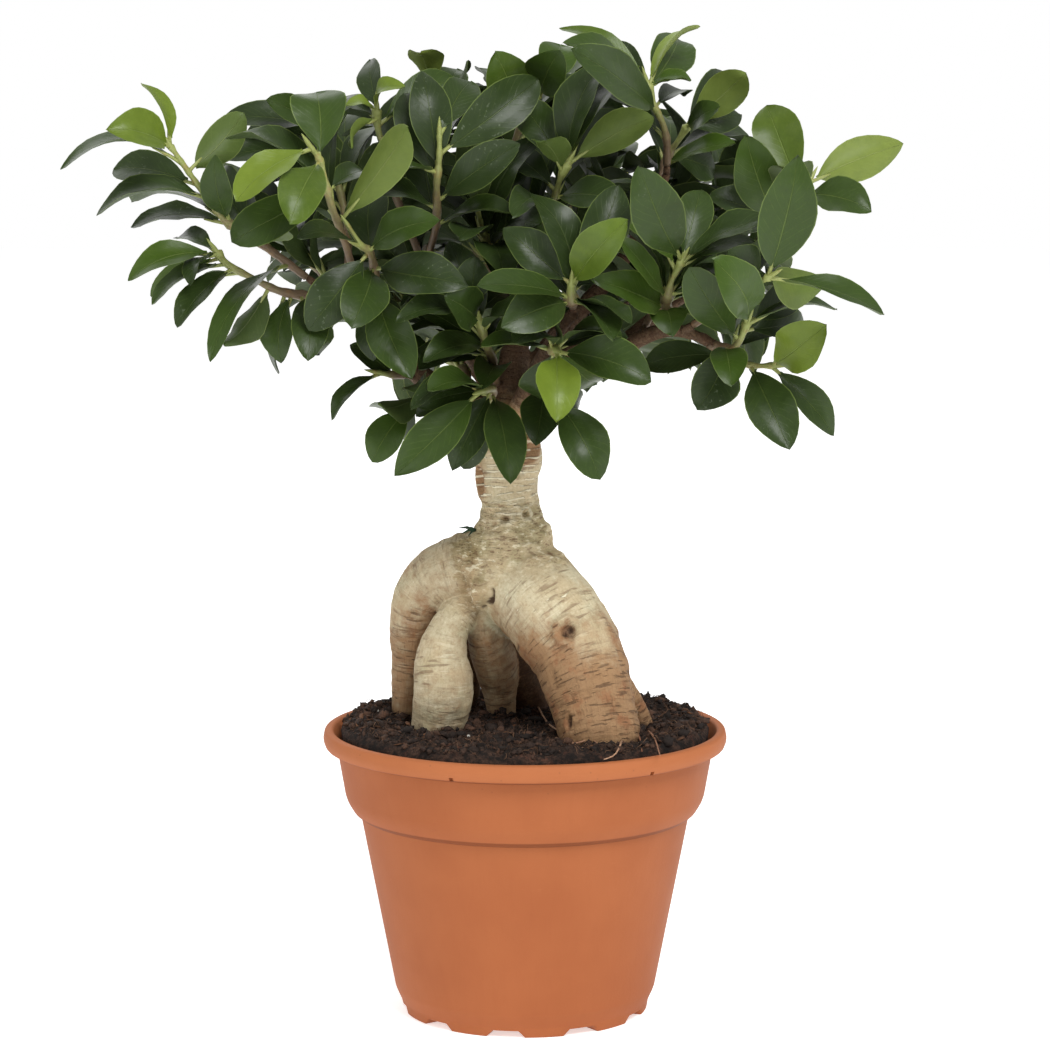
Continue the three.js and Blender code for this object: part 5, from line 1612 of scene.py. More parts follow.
LAYOUT = Layout()
FILL = Growth(11, 37)
INNER = Growth(500, 53, ease=0.42, count=22, size=1.15, tone=0.1)
COVER = Growth(900, 71, ease=0.42, count=26, size=0.88, tone=0.15)
CROWN_OUTLINE: tuple[tuple[float, float], ...] = (
    (-70, 270), (-54, 270), (-41, 271), (-36, 278), (-28, 281), (-7, 281), (2, 278), (6, 284), (22, 286),
    (36, 286), (39, 276), (51, 273), (61, 268), (65, 259), (69, 265), (77, 261), (80, 250), (84, 241),
    (80, 231), (79, 223), (83, 215), (80, 203), (75, 193), (63, 190), (37, 190), (22, 188), (15, 182),
    (4, 171), (-13, 166), (-25, 171), (-37, 181), (-42, 191), (-51, 202), (-66, 203), (-73, 206),
    (-77, 218), (-80, 229), (-92, 238), (-103, 247), (-97, 257), (-83, 263),
)
SEEN_STEMS: tuple[StemRow, ...] = (
    StemRow("left_high", "left", 5, (
        (-69, -18, 224), (-75, -22, 229), (-84, -26, 235), (-91, -30, 243), (-94, -34, 250),
        (-99, -38, 257),
    ), (
        (3, (-87, -38, 254), 10, -10, 10, 0.08, 0.2), (3, (-113, -18, 234), 11, 0, 60, 0.1, 0),
        (3, (-114, -6, 242), 11, 0, 84, 0.1, 0), (4, (-120, -40, 239), 13, 0, 66, 0.16, 0.1),
        (4.5, (-117, -26, 251), 12, 0, 35, 0.06, 0), (5, (-80, -24, 266), 12.5, 168, 10, 0.05, 0.5),
        (5.4, (-129, -46, 252), 12, 0, 74, 0.2, 0.2), (6, (-114, -54, 263), 14, -20, 25, 0.1, 0.7),
        (6, (-107, -36, 275), 8, 60, 0, 0.15, 0.8), (1, (-90, -34, 198), 10, -35, 10, 0.12, 0.2),
        (2, (-67, -38, 235), 8, 170, 0, 0.1, 0.4),
    )),
    StemRow("left_low", "left", 4.4, (
        (-64, -20, 214), (-73, -24, 217), (-80, -26, 221), (-85, -28, 224), (-87, -30, 227),
    ), (
        (5, (-112, -36, 220), 11, -10, 45, 0.12, 0.5), (5, (-94, -48, 220), 9, -50, 10, 0.15, 0.1),
        (4.6, (-108, -16, 214), 8, -50, 30, 0.1, 0.5), (4, (-106, -32, 213), 9, 0, 66, 0.14, 0.3),
        (3.6, (-98, -40, 207), 11, -40, 10, 0.1, 0.1), (3.2, (-100, -12, 207), 9, 0, 66, 0.16, 0.3),
        (2, (-85, -30, 200), 12, 150, -20, 0.08, 0.1), (5, (-100, -14, 231), 8, 0, 60, 0.1, 0.2),
        (1.3, (-70, -30, 196), 11, -25, 0, 0.1, 0.2), (1.5, (-72, -12, 191), 7, -60, 0, 0.1, 0.1),
        (1, (-61, -40, 198), 12, 10, 0, 0.1, 0.1), (1, (-59, -8, 196), 10, 40, 0, 0.1, 0.1),
    )),
    StemRow("left_front", "left", 3.4, (
        (-49, -26, 224), (-53, -38, 236), (-55, -44, 245), (-57, -47, 254), (-59, -50, 257),
    ), (
        (4, (-59, -32, 274), 17, 0, 5, 0.06, 0.3), (5, (-79, -64, 244), 13, -10, 38, 0.1, 0.8),
        (4, (-64, -66, 238), 14.5, 0, 20, 0.08, 0.5), (3, (-81, -54, 232), 15, -5, 20, 0.08, 0.2),
        (3, (-44, -26, 250), 10, 0, 52, 0.1, 0.1), (2, (-32, -44, 263), 12, 172, -10, 0.08, 0.7),
    )),
    StemRow("left_behind", "left", 4, ((-51, -8, 227), (-53, -5, 241), (-57, -4, 254), (-60, -4, 262)), (
        (4, (-87, -10, 265), 12, 0, 50, 0.1, 0), (3.5, (-83, 2, 258), 12, 0, 30, 0.1, 0),
        (4, (-73, -20, 270), 9, -10, 20, 0.1, 0.3), (3, (-90, -6, 253), 12, 0, 45, 0.08, 0.05),
        (4, (-50, 0, 271), 10, 0, 60, 0.08, 0),
    )),
    StemRow("left_inner", "left", 3, ((-43, -28, 224), (-46, -34, 229), (-49, -38, 234)), (
        (3, (-63, -56, 233), 12, 160, 30, 0.3, 0.6), (1.6, (-24, -46, 237), 13, 0, 32, 0.1, 0.3),
        (1, (-48, -52, 208), 14, 0, -5, 0.08, 0.1), (1.5, (-61, -40, 206), 14, -12, 5, 0.08, 0.1),
        (2, (-64, -30, 232), 9, 0, 50, 0.08, 0), (1, (-17, -48, 220), 15, 5, 20, 0.06, 0.05),
        (0.7, (-32, -38, 192), 15, 0, 8, 0.08, 0.3), (0.6, (-44, -24, 196), 9, -30, 0, 0.08, 0),
    )),
    StemRow("crown_left", "leftUp", 3, (
        (-26, -14, 230), (-25, -24, 240), (-25, -30, 248), (-24, -34, 255), (-24, -36, 260),
    ), (
        (2.2, (-2, -40, 258), 13, 10, 20, 0.06, 0), (3.3, (-40, -46, 250), 11, 0, 70, 0.08, 0.1),
        (2, (-43, -40, 246), 12, 0, 50, 0.08, 0.1), (4, (4, -30, 276), 14, 15, 20, 0.08, 0.05),
        (5, (-15, -18, 276), 12, 5, 5, 0.06, 0.2), (1.5, (-4, -32, 240), 12, 0, 60, 0.08, 0.1),
    )),
    StemRow("crown_left_side", "leftUp", 2.6, (
        (-36, -6, 237), (-38, -14, 247), (-40, -20, 256), (-42, -23, 263), (-42, -25, 267),
    ), (
        (4, (-19, -8, 276), 11, 10, 42, 0.1, 0.3), (5, (-34, -32, 274), 7, 0, 50, 0.3, 0.8),
        (5, (-50, -38, 269), 7, 0, 60, 0.2, 0.8), (4.5, (-49, -42, 257), 6, -60, 0, 0.1, 0.7),
        (5, (-45, -10, 282), 9, -30, 20, 0.06, 0), (4.5, (-54, -12, 271), 10, 0, 70, 0.06, 0),
    )),
    StemRow("crown_left_back", "backLeft", 2.2, (
        (-28, 30, 238), (-27, 22, 255), (-27, 14, 267), (-27, 10, 273),
    ), (
        (4, (-30, -6, 284), 12, 0, 30, 0.08, 0.7), (3, (-20, 26, 280), 10, 0, 20, 0.08, 0.1),
        (3.4, (-16, 4, 281), 8, 84, 0, 0.1, 0.1),
    )),
    StemRow("crown_mid", "leader", 5, ((-3, 2, 257), (0, 0, 265), (4, -2, 271)), (
        (2, (-8, -10, 283), 14, 0, 15, 0.06, 0.6), (3, (11, 12, 287), 12, 10, 15, 0.1, 0.5),
        (3, (9, -18, 283), 14, 0, 15, 0.06, 0.3),
    )),
    StemRow("crown_front", "leader", 4, ((1, -8, 230), (7, -18, 239), (10, -27, 248), (12, -30, 252)), (
        (4, (36, -34, 266), 12, 175, 20, 0.12, 0.6), (3.4, (3, -46, 260), 11, 160, 20, 0.08, 0.4),
        (3.6, (-2, -18, 270), 12, 0, 25, 0.06, 0.15), (4, (32, -22, 280), 8, 0, 80, 0.1, 0.6),
        (2.6, (-7, -8, 256), 11, 0, 45, 0.1, 0), (2.4, (27, -36, 242), 12, 5, 35, 0.08, 0.05),
    )),
    StemRow("top_right", "rightUp", 4, ((41, -8, 256), (40, -12, 262), (37, -16, 268), (35, -18, 274)), (
        (4, (10, -28, 291), 8, 0, 50, 0.12, 0.5), (3.6, (12, -38, 287), 10, 0, 35, 0.06, 0.4),
        (2.7, (15, -34, 284), 13, 0, 15, 0.06, 0.2), (3.5, (25, -2, 286), 9, 0, 10, 0.06, 0),
        (4, (49, -10, 292), 9, -66, 10, 0.1, 0.9), (3.9, (45, 4, 289), 14, 5, 5, 0.06, 0.2),
        (4, (48, -4, 276), 8, 0, 70, 0.1, 0.4), (3, (47, 10, 272), 9, 0, 60, 0.1, 0.1),
    )),
    StemRow("top_right_side", "rightUp", 3.4, ((41, 4, 252), (44, 2, 257), (47, 0, 262)), (
        (3, (64, -8, 278), 12, 172, 10, 0.08, 0.7), (2.6, (61, 14, 279), 13, 0, 10, 0.06, 0),
        (3, (64, 12, 266), 11, 0, 20, 0.06, 0), (3, (54, -16, 268), 9, 0, 20, 0.06, 0.3),
        (1, (60, -14, 258), 10, 0, 45, 0.06, 0.4), (1.4, (57, 16, 249), 12, 0, 20, 0.08, 0),
    )),
    StemRow("right_inner", "right", 3, ((40, -25, 211), (41, -32, 218), (44, -38, 225)), (
        (3, (32, -58, 251), 16, -10, 25, 0.08, 0.1), (2.6, (27, -30, 238), 10, -30, 55, 0.22, 0.5),
        (1.6, (29, -16, 234), 8, 60, 0, 0.06, 0.3), (1.4, (27, -46, 232), 8, 50, 0, 0.06, 0.3),
        (1, (20, -48, 221), 12, -5, 22, 0.08, 0.3), (3, (67, -46, 238), 12, 0, 60, 0.08, 0.1),
        (2.8, (63, -60, 232), 10, 0, 55, 0.08, 0.2), (3, (50, -26, 245), 12, 5, 10, 0.1, 0.15),
        (1, (41, -46, 206), 12, 0, 35, 0.1, 0.3), (1, (60, -30, 222), 8, 0, 66, 0.22, 0.4),
    )),
    StemRow("right_low", "right", 4, ((58, -24, 199), (61, -28, 202), (63, -30, 207)), (
        (3, (54, -56, 225), 15, 8, 12, 0.1, 0.4), (2, (46, -54, 223), 13, -15, 12, 0.05, 0.2),
        (3, (89, -24, 212), 8, 0, 80, 0.1, 0.2), (3, (79, -10, 216), 11, 10, 10, 0.08, 0),
        (2.6, (83, -4, 205), 11, 5, 25, 0.08, 0), (1, (58, -46, 192), 12, 0, 38, 0.1, 0.3),
        (1, (49, -34, 183), 14, 5, -5, 0.1, 0),
    )),
    StemRow("right_low_out", "right", 3.7, ((59, -12, 196), (65, -16, 194), (71, -18, 194)), (
        (3, (84, -32, 206), 15, 0, 12, 0.08, 0.8), (3, (90, -18, 174), 11, 25, 12, 0.08, 0.15),
        (2, (75, -36, 172), 16, 0, 10, 0.1, 0.1), (1, (34, -14, 194), 10, 0, 25, 0.06, 0),
    )),
    StemRow("right_high", "rightFar", 3, ((75, -6, 238), (80, -7, 243), (82, -6, 246)), (
        (2, (70, 2, 269), 16, -5, 8, 0.08, 0.6), (0.6, (63, -22, 259), 16, -8, 5, 0.08, 0.5),
        (1, (73, -34, 253), 13, -5, 22, 0.06, 0.3), (3, (110, 2, 257), 13, 172, 0, 0.08, 0.8),
        (2, (99, -18, 239), 14, 8, 30, 0.08, 0.3), (0.6, (53, -20, 243), 12, 0, 30, 0.08, 0),
    )),
    StemRow("right_mid", "right", 3.4, ((54, -26, 210), (61, -36, 216), (68, -44, 221)), (
        (3, (75, -60, 254), 17, 8, 10, 0.06, 0.3), (3, (101, -42, 211), 11, 0, 64, 0.08, 0.2),
        (3, (85, -26, 218), 13, 172, -20, 0.06, 0.6), (2.6, (56, -58, 229), 12, 0, 20, 0.08, 0.1),
    )),
    StemRow("front_mid", "front", 3, ((13, -42, 215), (13, -45, 219)), (
        (2, (27, -60, 237), 13, 0, 18, 0.08, 0.7), (2, (-6, -42, 235), 13, 0, 22, 0.06, 0.05),
        (1, (-13, -62, 220), 11, 0, 40, 0.08, 0.1), (0.8, (-6, -66, 209), 14, -5, 15, 0.08, 0.1),
        (1.4, (25, -18, 224), 10, 10, 20, 0.08, 0.1),
    )),
    StemRow("front_low", "front", 1.5, ((8, -34, 200), (9, -40, 200)), (
        (2, (9, -58, 183), 13, 5, 15, 0.08, 0.8), (1.4, (3, -20, 184), 12, -10, 5, 0.08, 0.1),
        (2, (35, -50, 193), 14, 0, 30, 0.06, 0.1), (1.4, (21, -24, 188), 11, 0, -30, 0.08, 0.2),
        (1, (-12, -52, 203), 10, 0, 64, 0.06, 0.3),
    )),
    StemRow("front_drop", "right", 0.5, ((6, -20, 188), (9, -30, 185)), (
        (2, (21, -44, 165), 15, 5, 20, 0.08, 0.15), (0.8, (3, -33, 173), 13, 0, 5, 0.06, 0),
        (1.4, (17, -12, 182), 8, 10, 5, 0.06, 0),
    )),
    StemRow("front_left", "leftUp", 0.4, (
        (-9, -14, 194), (-11, -24, 200), (-13, -30, 208), (-16, -32, 212),
    ), (
        (2, (-28, -44, 198), 11, -5, 35, 0.08, 0.05), (1, (-12, -34, 190), 12, 0, 30, 0.1, 0.15),
        (3, (-21, -54, 216), 13, -10, 20, 0.06, 0.05), (4, (-14, -46, 227), 11, 0, 25, 0.06, 0.05),
        (3.4, (-6, -12, 215), 11, 0, 40, 0.06, 0),
    )),
    StemRow("front_hang", "left", 0.6, ((-9, -22, 187), (-11, -30, 188), (-13, -36, 188)), (
        (3, (-37, -42, 165), 13, -8, 22, 0.06, 0.25), (1.4, (-21, -34, 166), 12, -15, 10, 0.06, 0),
        (1, (-4, -46, 164), 13, 8, 12, 0.06, 0.1), (0.8, (-18, -18, 164), 10, -10, 5, 0.06, 0.05),
    )),
    StemRow("low_left", "left", 1.6, ((-28, -14, 186), (-33, -18, 182)), (
        (1, (-42, -36, 184), 12, 165, -25, 0.15, 0.1), (2, (-44, -24, 167), 11, -10, 12, 0.08, 0.35),
        (1.6, (-38, -4, 171), 10, 0, 10, 0.1, 0.1),
    )),
    StemRow("low_left_thin", "left", 2.1, ((-38, -14, 191), (-42, -18, 192)), (
        (2, (-56, -26, 180), 8, -50, 10, 0.12, 0.1), (1, (-51, -2, 199), 10, 0, 40, 0.1, 0.1),
    )),
)
FILL_STEMS: tuple[StemRow, ...] = (
    StemRow("back_left_tip", "backLeft", 3, ((-52, 54, 243), (-60, 60, 251)), count=6),
    StemRow("back_left_high", "backLeft", 2.4, ((-48, 52, 228), (-58, 58, 234)), count=6),
    StemRow("back_left_mid", "backLeft", 1.6, ((-36, 40, 206), (-46, 46, 214)), count=5),
    StemRow("back_left_deep", "backLeft", 2, ((-30, 56, 224), (-30, 70, 230)), count=6),
    StemRow("back_left_low", "backLeft", 1.2, ((-28, 42, 200), (-34, 52, 204)), count=5),
    StemRow("back_right_tip", "backRight", 3, ((60, 53, 236), (71, 57, 242)), count=6),
    StemRow("back_right_deep", "backRight", 2.4, ((44, 58, 226), (46, 70, 232)), count=6),
    StemRow("back_right_mid", "backRight", 2, ((50, 41, 212), (68, 44, 213)), count=5),
    StemRow("back_right_low", "backRight", 1.3, ((26, 40, 204), (34, 54, 206)), count=5),
    StemRow("back_top", "back", 3, ((4, 60, 250), (6, 62, 262)), count=6),
    StemRow("back_right_of", "back", 2.5, ((14, 62, 236), (26, 70, 244)), count=5),
    StemRow("back_left_of", "back", 2.2, ((-8, 64, 228), (-18, 74, 236)), count=5),
    StemRow("back_mid", "back", 1.5, ((2, 58, 206), (2, 74, 204)), count=5),
    StemRow("back_low", "back", 0.8, ((8, 38, 188), (12, 50, 190)), count=5),
    StemRow("top_back", "leader", 3.5, ((-2, 20, 250), (0, 30, 262)), count=6),
    StemRow("inner_left", "leader", 2.5, ((-14, 16, 226), (-22, 22, 236)), count=5),
    StemRow("inner_right", "leader", 2, ((12, 10, 220), (22, 10, 230)), count=5),
    StemRow("left_up_back", "leftUp", 2, ((-34, 10, 220), (-46, 15, 232)), count=5),
    StemRow("left_mid_back", "left", 2.5, ((-42, 6, 206), (-50, 14, 214)), count=5),
    StemRow("left_tip_back", "left", 4, ((-62, 2, 222), (-76, 8, 232)), count=6),
    StemRow("right_up_back", "rightUp", 2, ((36, 20, 232), (44, 30, 244)), count=5),
    StemRow("right_mid_back", "right", 2.5, ((42, 2, 216), (52, 12, 222)), count=5),
    StemRow("right_far_back", "rightFar", 2, ((64, 14, 222), (70, 26, 226)), count=5),
    StemRow("inner_front_left", "leader", 3, ((-10, -8, 226), (-13, -18, 236)), count=5),
    StemRow("low_back_left", "left", 1, ((-18, 10, 190), (-26, 22, 194)), count=5),
    StemRow("low_back_right", "right", 1.4, ((22, 10, 198), (32, 20, 202)), count=5),
)


def across_of(t: Array, half: Array) -> Array:
    """Half the width of a leaf at a share of its length: widest past the middle, with a blunt tip.

    Args:
        t: The share of the length, 0 at the stem and 1 at the tip.
        half: Half the blade's greatest width.

    Returns:
        Half the width there.
    """
    u = np.clip((t - LAYOUT.stalk_share) / (1 - LAYOUT.stalk_share), 0, 1)
    outline = LAYOUT.outline_scale * u**0.75 * np.sqrt(1 - u)
    blade = np.maximum(LAYOUT.stalk_half_width * (1 - u), half * outline)
    return np.where(t < LAYOUT.stalk_share, LAYOUT.stalk_half_width, blade)


def square_to(direction: Array, axis: Array) -> Array:
    """Takes the part of a direction that is square to an axis.

    Args:
        direction: The direction.
        axis: The axis, 1 long.

    Returns:
        That part, 1 long.
    """
    part = direction - axis * direction.dot(axis)
    if np.linalg.norm(part) < 0.2:
        part = UP - axis * axis[2]
    return unit(part)


def facing_of(turn: float, rise: float) -> Array:
    """Works out a direction.

    Args:
        turn: Its turn from the front, in degrees.
        rise: Its rise above level, in degrees.

    Returns:
        The direction, 1 long.
    """
    turn, rise = math.radians(turn), math.radians(rise)
    level = math.cos(rise)
    return np.array((level * math.sin(turn), -level * math.cos(turn), math.sin(rise)))


def draws(seed: int) -> Callable[[], float]:
    """Starts a stream of draws between 0 and 1.

    Args:
        seed: Where the stream starts.

    Returns:
        A function that gives the next draw.
    """
    state = seed

    def draw() -> float:
        """Gives the next draw.

        Returns:
            A number between 0 and 1.
        """
        nonlocal state
        state = state * DRAW_FACTOR % DRAW_LIMIT
        return state / DRAW_LIMIT

    for _ in range(4):
        draw()
    return draw


class Leaf:
    """One leaf: a stalk and a blade that bows along its length and folds up along its midrib.

    TEST_T and TEST_Q are the shares of length and half width at which clearances are tested.
    """

    TEST_T = np.repeat(0.1 + 0.075 * np.arange(13), 5)
    TEST_Q = np.tile((-1.0, -0.5, 0.0, 0.5, 1.0), 13)

    def __init__(self, root: Array, tip: Array, facing: Array, width: float, bow: float) -> None:
        """Places the leaf.

        Args:
            root: Where it leaves the stem's middle.
            tip: Its far end.
            facing: The side that its top faces.
            width: The blade's greatest width.
            bow: How far it bows, as a share of its length.
        """
        self.base = root + unit(tip - root) * 0.2
        self.tip = tip
        self.length = float(np.linalg.norm(tip - self.base))
        self.axis = (tip - self.base) / self.length
        self.normal = square_to(facing, self.axis)
        self.side = np.cross(self.axis, self.normal)
        self.half = width / 2
        self.bow = bow
        self.tone = 0.0
        self.centre = (self.base + tip) / 2
        self.tests = self.points(self.TEST_T, self.TEST_Q)

    def points(self, t: Array, q: Array) -> Array:
        """Finds points of the blade.

        Args:
            t: Shares of the length.
            q: Shares of half the width, from -1 to 1.

        Returns:
            One row for each point.
        """
        across = q * across_of(t, self.half)
        lift = self.bow * self.length * 4 * t * (1 - t) + LAYOUT.fold * np.abs(across)
        ahead, up = np.outer(self.length * t, self.axis), np.outer(lift, self.normal)
        return self.base + ahead + up + np.outer(across, self.side)


class Thicket:
    """Every leaf placed so far and all wood, with the test that a new leaf is clear of them."""

    def __init__(self, wood: Sequence[tuple[Array, Array, float, int]]) -> None:
        """Keeps the wood.

        Args:
            wood: The start, end, radius and stem number of each stretch, with -1 for no stem.
        """
        start, end, radius, stem = zip(*wood)
        self.wood_start = np.array(start)
        self.wood_span = np.array(end) - self.wood_start
        self.wood_radius = np.array(radius)
        self.wood_stem = np.array(stem)
        self.leaves: list[Leaf] = []
        self.stems: list[int] = []

    def add(self, leaf: Leaf, stem: int) -> None:
        """Adds a placed leaf of a stem."""
        self.leaves.append(leaf)
        self.stems.append(stem)

    @staticmethod
    def meets(frames: Sequence[Array], points: Array, same: Array, ease: float) -> bool:
        """Tells if a point lies on a blade or too near it.

        Args:
            frames: Base, axis, normal, side, length, half width and bow of each blade.
            points: The points to test against each blade, as [blade, point, axis].
            same: For each blade, if the points are on a leaf of its own stem.
            ease: The share of the full clearances to keep.

        Returns:
            True if any point is too near.
        """
        base, axis, normal, side, length, half, bow = frames
        length, half, bow = length[:, None], half[:, None], bow[:, None]
        offset = points - base[:, None]
        t = np.einsum("bpk,bk->bp", offset, axis) / length
        margin = ease * LAYOUT.edge_margin
        inside = np.clip(t, 0, 1)
        across = np.abs(np.einsum("bpk,bk->bp", offset, side))
        width = across_of(inside, half)
        lift = bow * length * 4 * inside * (1 - inside) + LAYOUT.fold * np.minimum(across, width)
        height = np.einsum("bpk,bk->bp", offset, normal) - lift
        near = (t >= -margin / length) & (t <= 1 + margin / length) & (across <= width + margin)
        near &= np.abs(height) < ease * LAYOUT.leaf_clearance
        near &= ~(same[:, None] & ((t < LAYOUT.free_share) | (Leaf.TEST_T < LAYOUT.free_share)))
        return bool(near.any())

    def clear(self, leaf: Leaf, stem: int, ease: float = 1.0) -> bool:
        """Tells if a new leaf is clear of all leaves and wood.

        Args:
            leaf: The new leaf.
            stem: Its stem's number.
            ease: The share of the full clearances to keep.

        Returns:
            True if it is clear.
        """
        near = []
        for k, other in enumerate(self.leaves):
            reach = (leaf.length + other.length) / 2 + LAYOUT.leaf_range
            if np.linalg.norm(leaf.centre - other.centre) <= reach:
                near.append(k)
        if near:
            others = [self.leaves[k] for k in near]
            same = np.array([self.stems[k] == stem for k in near])
            fields = ("base", "axis", "normal", "side", "length", "half", "bow")
            theirs = [np.array([getattr(other, name) for other in others]) for name in fields]
            own = [np.array([getattr(leaf, name)] * len(others)) for name in fields]
            if self.meets(own, np.array([other.tests for other in others]), same, ease):
                return False
            if self.meets(theirs, np.broadcast_to(leaf.tests, (len(others), *leaf.tests.shape)), same, ease):
                return False
        return self.clear_of_wood(leaf, stem)

    def clear_of_wood(self, leaf: Leaf, stem: int) -> bool:
        """Tells if a new leaf is clear of all wood, apart from its own stalk's place on its stem.

        Args:
            leaf: The new leaf.
            stem: Its stem's number.

        Returns:
            True if it is clear.
        """
        away = np.linalg.norm(self.wood_start - leaf.centre, axis=1)
        near = away <= leaf.length / 2 + self.wood_radius + LAYOUT.wood_range
        start, span, radius = self.wood_start[near], self.wood_span[near], self.wood_radius[near]
        own = self.wood_stem[near] == stem
        offset = leaf.tests[None] - start[:, None]
        share = np.einsum("wpk,wk->wp", offset, span) / (span**2).sum(1)[:, None]
        offset = offset - span[:, None] * np.clip(share, 0, 1)[..., None]
        close = np.linalg.norm(offset, axis=2) < radius[:, None] + LAYOUT.wood_clearance
        close &= ~(own[:, None] & (Leaf.TEST_T < LAYOUT.free_foot))
        return not close.any()


class Stem:
    """A leafy stem: a short spur that belongs to the limb, a fine gap, and the twig with its leaves."""

    def __init__(self, row: StemRow, order: int) -> None:
        """Lays out the stem.

        Args:
            row: The stem's row.
            order: Its number in the crown.
        """
        self.row = row
        self.order = order
        limb = LIMBS[row.limb]
        self.start = limb.curve.at(row.at)
        self.curve = Curve([tuple(self.start), *row.route])
        self.last = len(row.route)
        points, radii = limb.samples
        seat = 0.0
        while seat < self.last:
            if (np.linalg.norm(points - self.curve.at(seat), axis=1) - radii).min() >= LAYOUT.spur_reach:
                break
            seat += 0.02
        self.foot = seat
        self.spur_end = self.curve.at(seat)
        while np.linalg.norm(self.curve.at(self.foot) - self.spur_end) < LAYOUT.gap:
            self.foot += 0.005
        steps = max(3, min(self.last, 4))
        run = self.last - self.foot
        self.knots = [self.curve.at(self.foot + run * k / steps) for k in range(steps + 1)]
        self.leaves: list[Leaf] = []

    def point(self, place: float) -> Array:
        """Finds a point on the twig's middle, which runs straight from knot to knot.

        Args:
            place: Where, counted in the points of the stem's curve.

        Returns:
            The point there.
        """
        steps = len(self.knots) - 1
        share = min(max((place - self.foot) / (self.last - self.foot), 0.03), 1) * steps
        k = min(int(share), steps - 1)
        return self.knots[k] + (self.knots[k + 1] - self.knots[k]) * (share - k)

    def grow_leaf(self, i: int, count: int, draw: Callable[[], float], size: float) -> Leaf:
        """Grows one leaf by rule: leaves wind up the stem by the golden angle and lean out of the crown.

        Args:
            i: The leaf's number on the stem.
            count: How many leaves grow on it.
            draw: The leaf's own seeded draws.
            size: How much larger than usual it is.

        Returns:
            The leaf.
        """
        share = i / (count - 1)
        place = self.foot + (self.last - self.foot) * (LAYOUT.leafy_from + (1 - LAYOUT.leafy_from) * share)
        base = self.point(place)
        along = unit(self.curve.at(place + 0.03) - self.curve.at(place - 0.03))
        first = square_to(np.array((1.0, 0, 0)) if abs(along[2]) > 0.9 else UP, along)
        second = np.cross(along, first)
        turn = i * LAYOUT.golden_angle + self.order * LAYOUT.stem_turn + LAYOUT.turn_play * (draw() - 0.5)
        lean = LAYOUT.lean - LAYOUT.lean_fall * share + LAYOUT.lean_play * (draw() - 0.5)
        turn, lean = math.radians(turn), math.radians(lean)
        outward = unit(base - np.array(LAYOUT.middle))
        spread = first * math.cos(turn) + second * math.sin(turn)
        direction = along * math.cos(lean) + spread * math.sin(lean)
        direction = unit(direction + LAYOUT.outward * outward - LAYOUT.droop * UP)
        length = (LAYOUT.length + LAYOUT.length_play * draw()) * size
        width = length * (0.4 + 0.09 * draw())
        facing = 0.6 * (np.array([draw(), draw(), draw()]) - 0.5) + 0.8 * UP + 0.5 * outward
        leaf = Leaf(base, base + direction * length, facing, width, 0.06 + 0.12 * draw())
        leaf.tone = max(0.0, 0.32 * share - 0.1) + 0.1 * ((self.order * 7 + i * 3) % 5) / 5
        return leaf


def from_front(points: Array) -> Array:
    """Draws points on the plane through the origin as the front view shows them.

    Args:
        points: One row of x, y and z for each point.

    Returns:
        One row of x and z on that plane for each point, with its y as the depth.
    """
    _, front, level = View.eye
    near = front / (front - points[:, 1])
    return np.column_stack((points[:, 0] * near, level + (points[:, 2] - level) * near, points[:, 1]))


def inside_outline(leaf: Leaf) -> bool:
    """Tells if a leaf, seen from the front, lies inside the crown's outline.

    Args:
        leaf: The leaf.

    Returns:
        True if all of it does.
    """
    x, z, _ = from_front(leaf.tests).T
    inside = np.zeros(len(x), bool)
    for (ax, az), (bx, bz) in zip(CROWN_OUTLINE, CROWN_OUTLINE[1:] + CROWN_OUTLINE[:1]):
        if az != bz:
            inside ^= ((az > z) != (bz > z)) & (x < ax + (bx - ax) * (z - az) / (bz - az))
    return bool(inside.all())


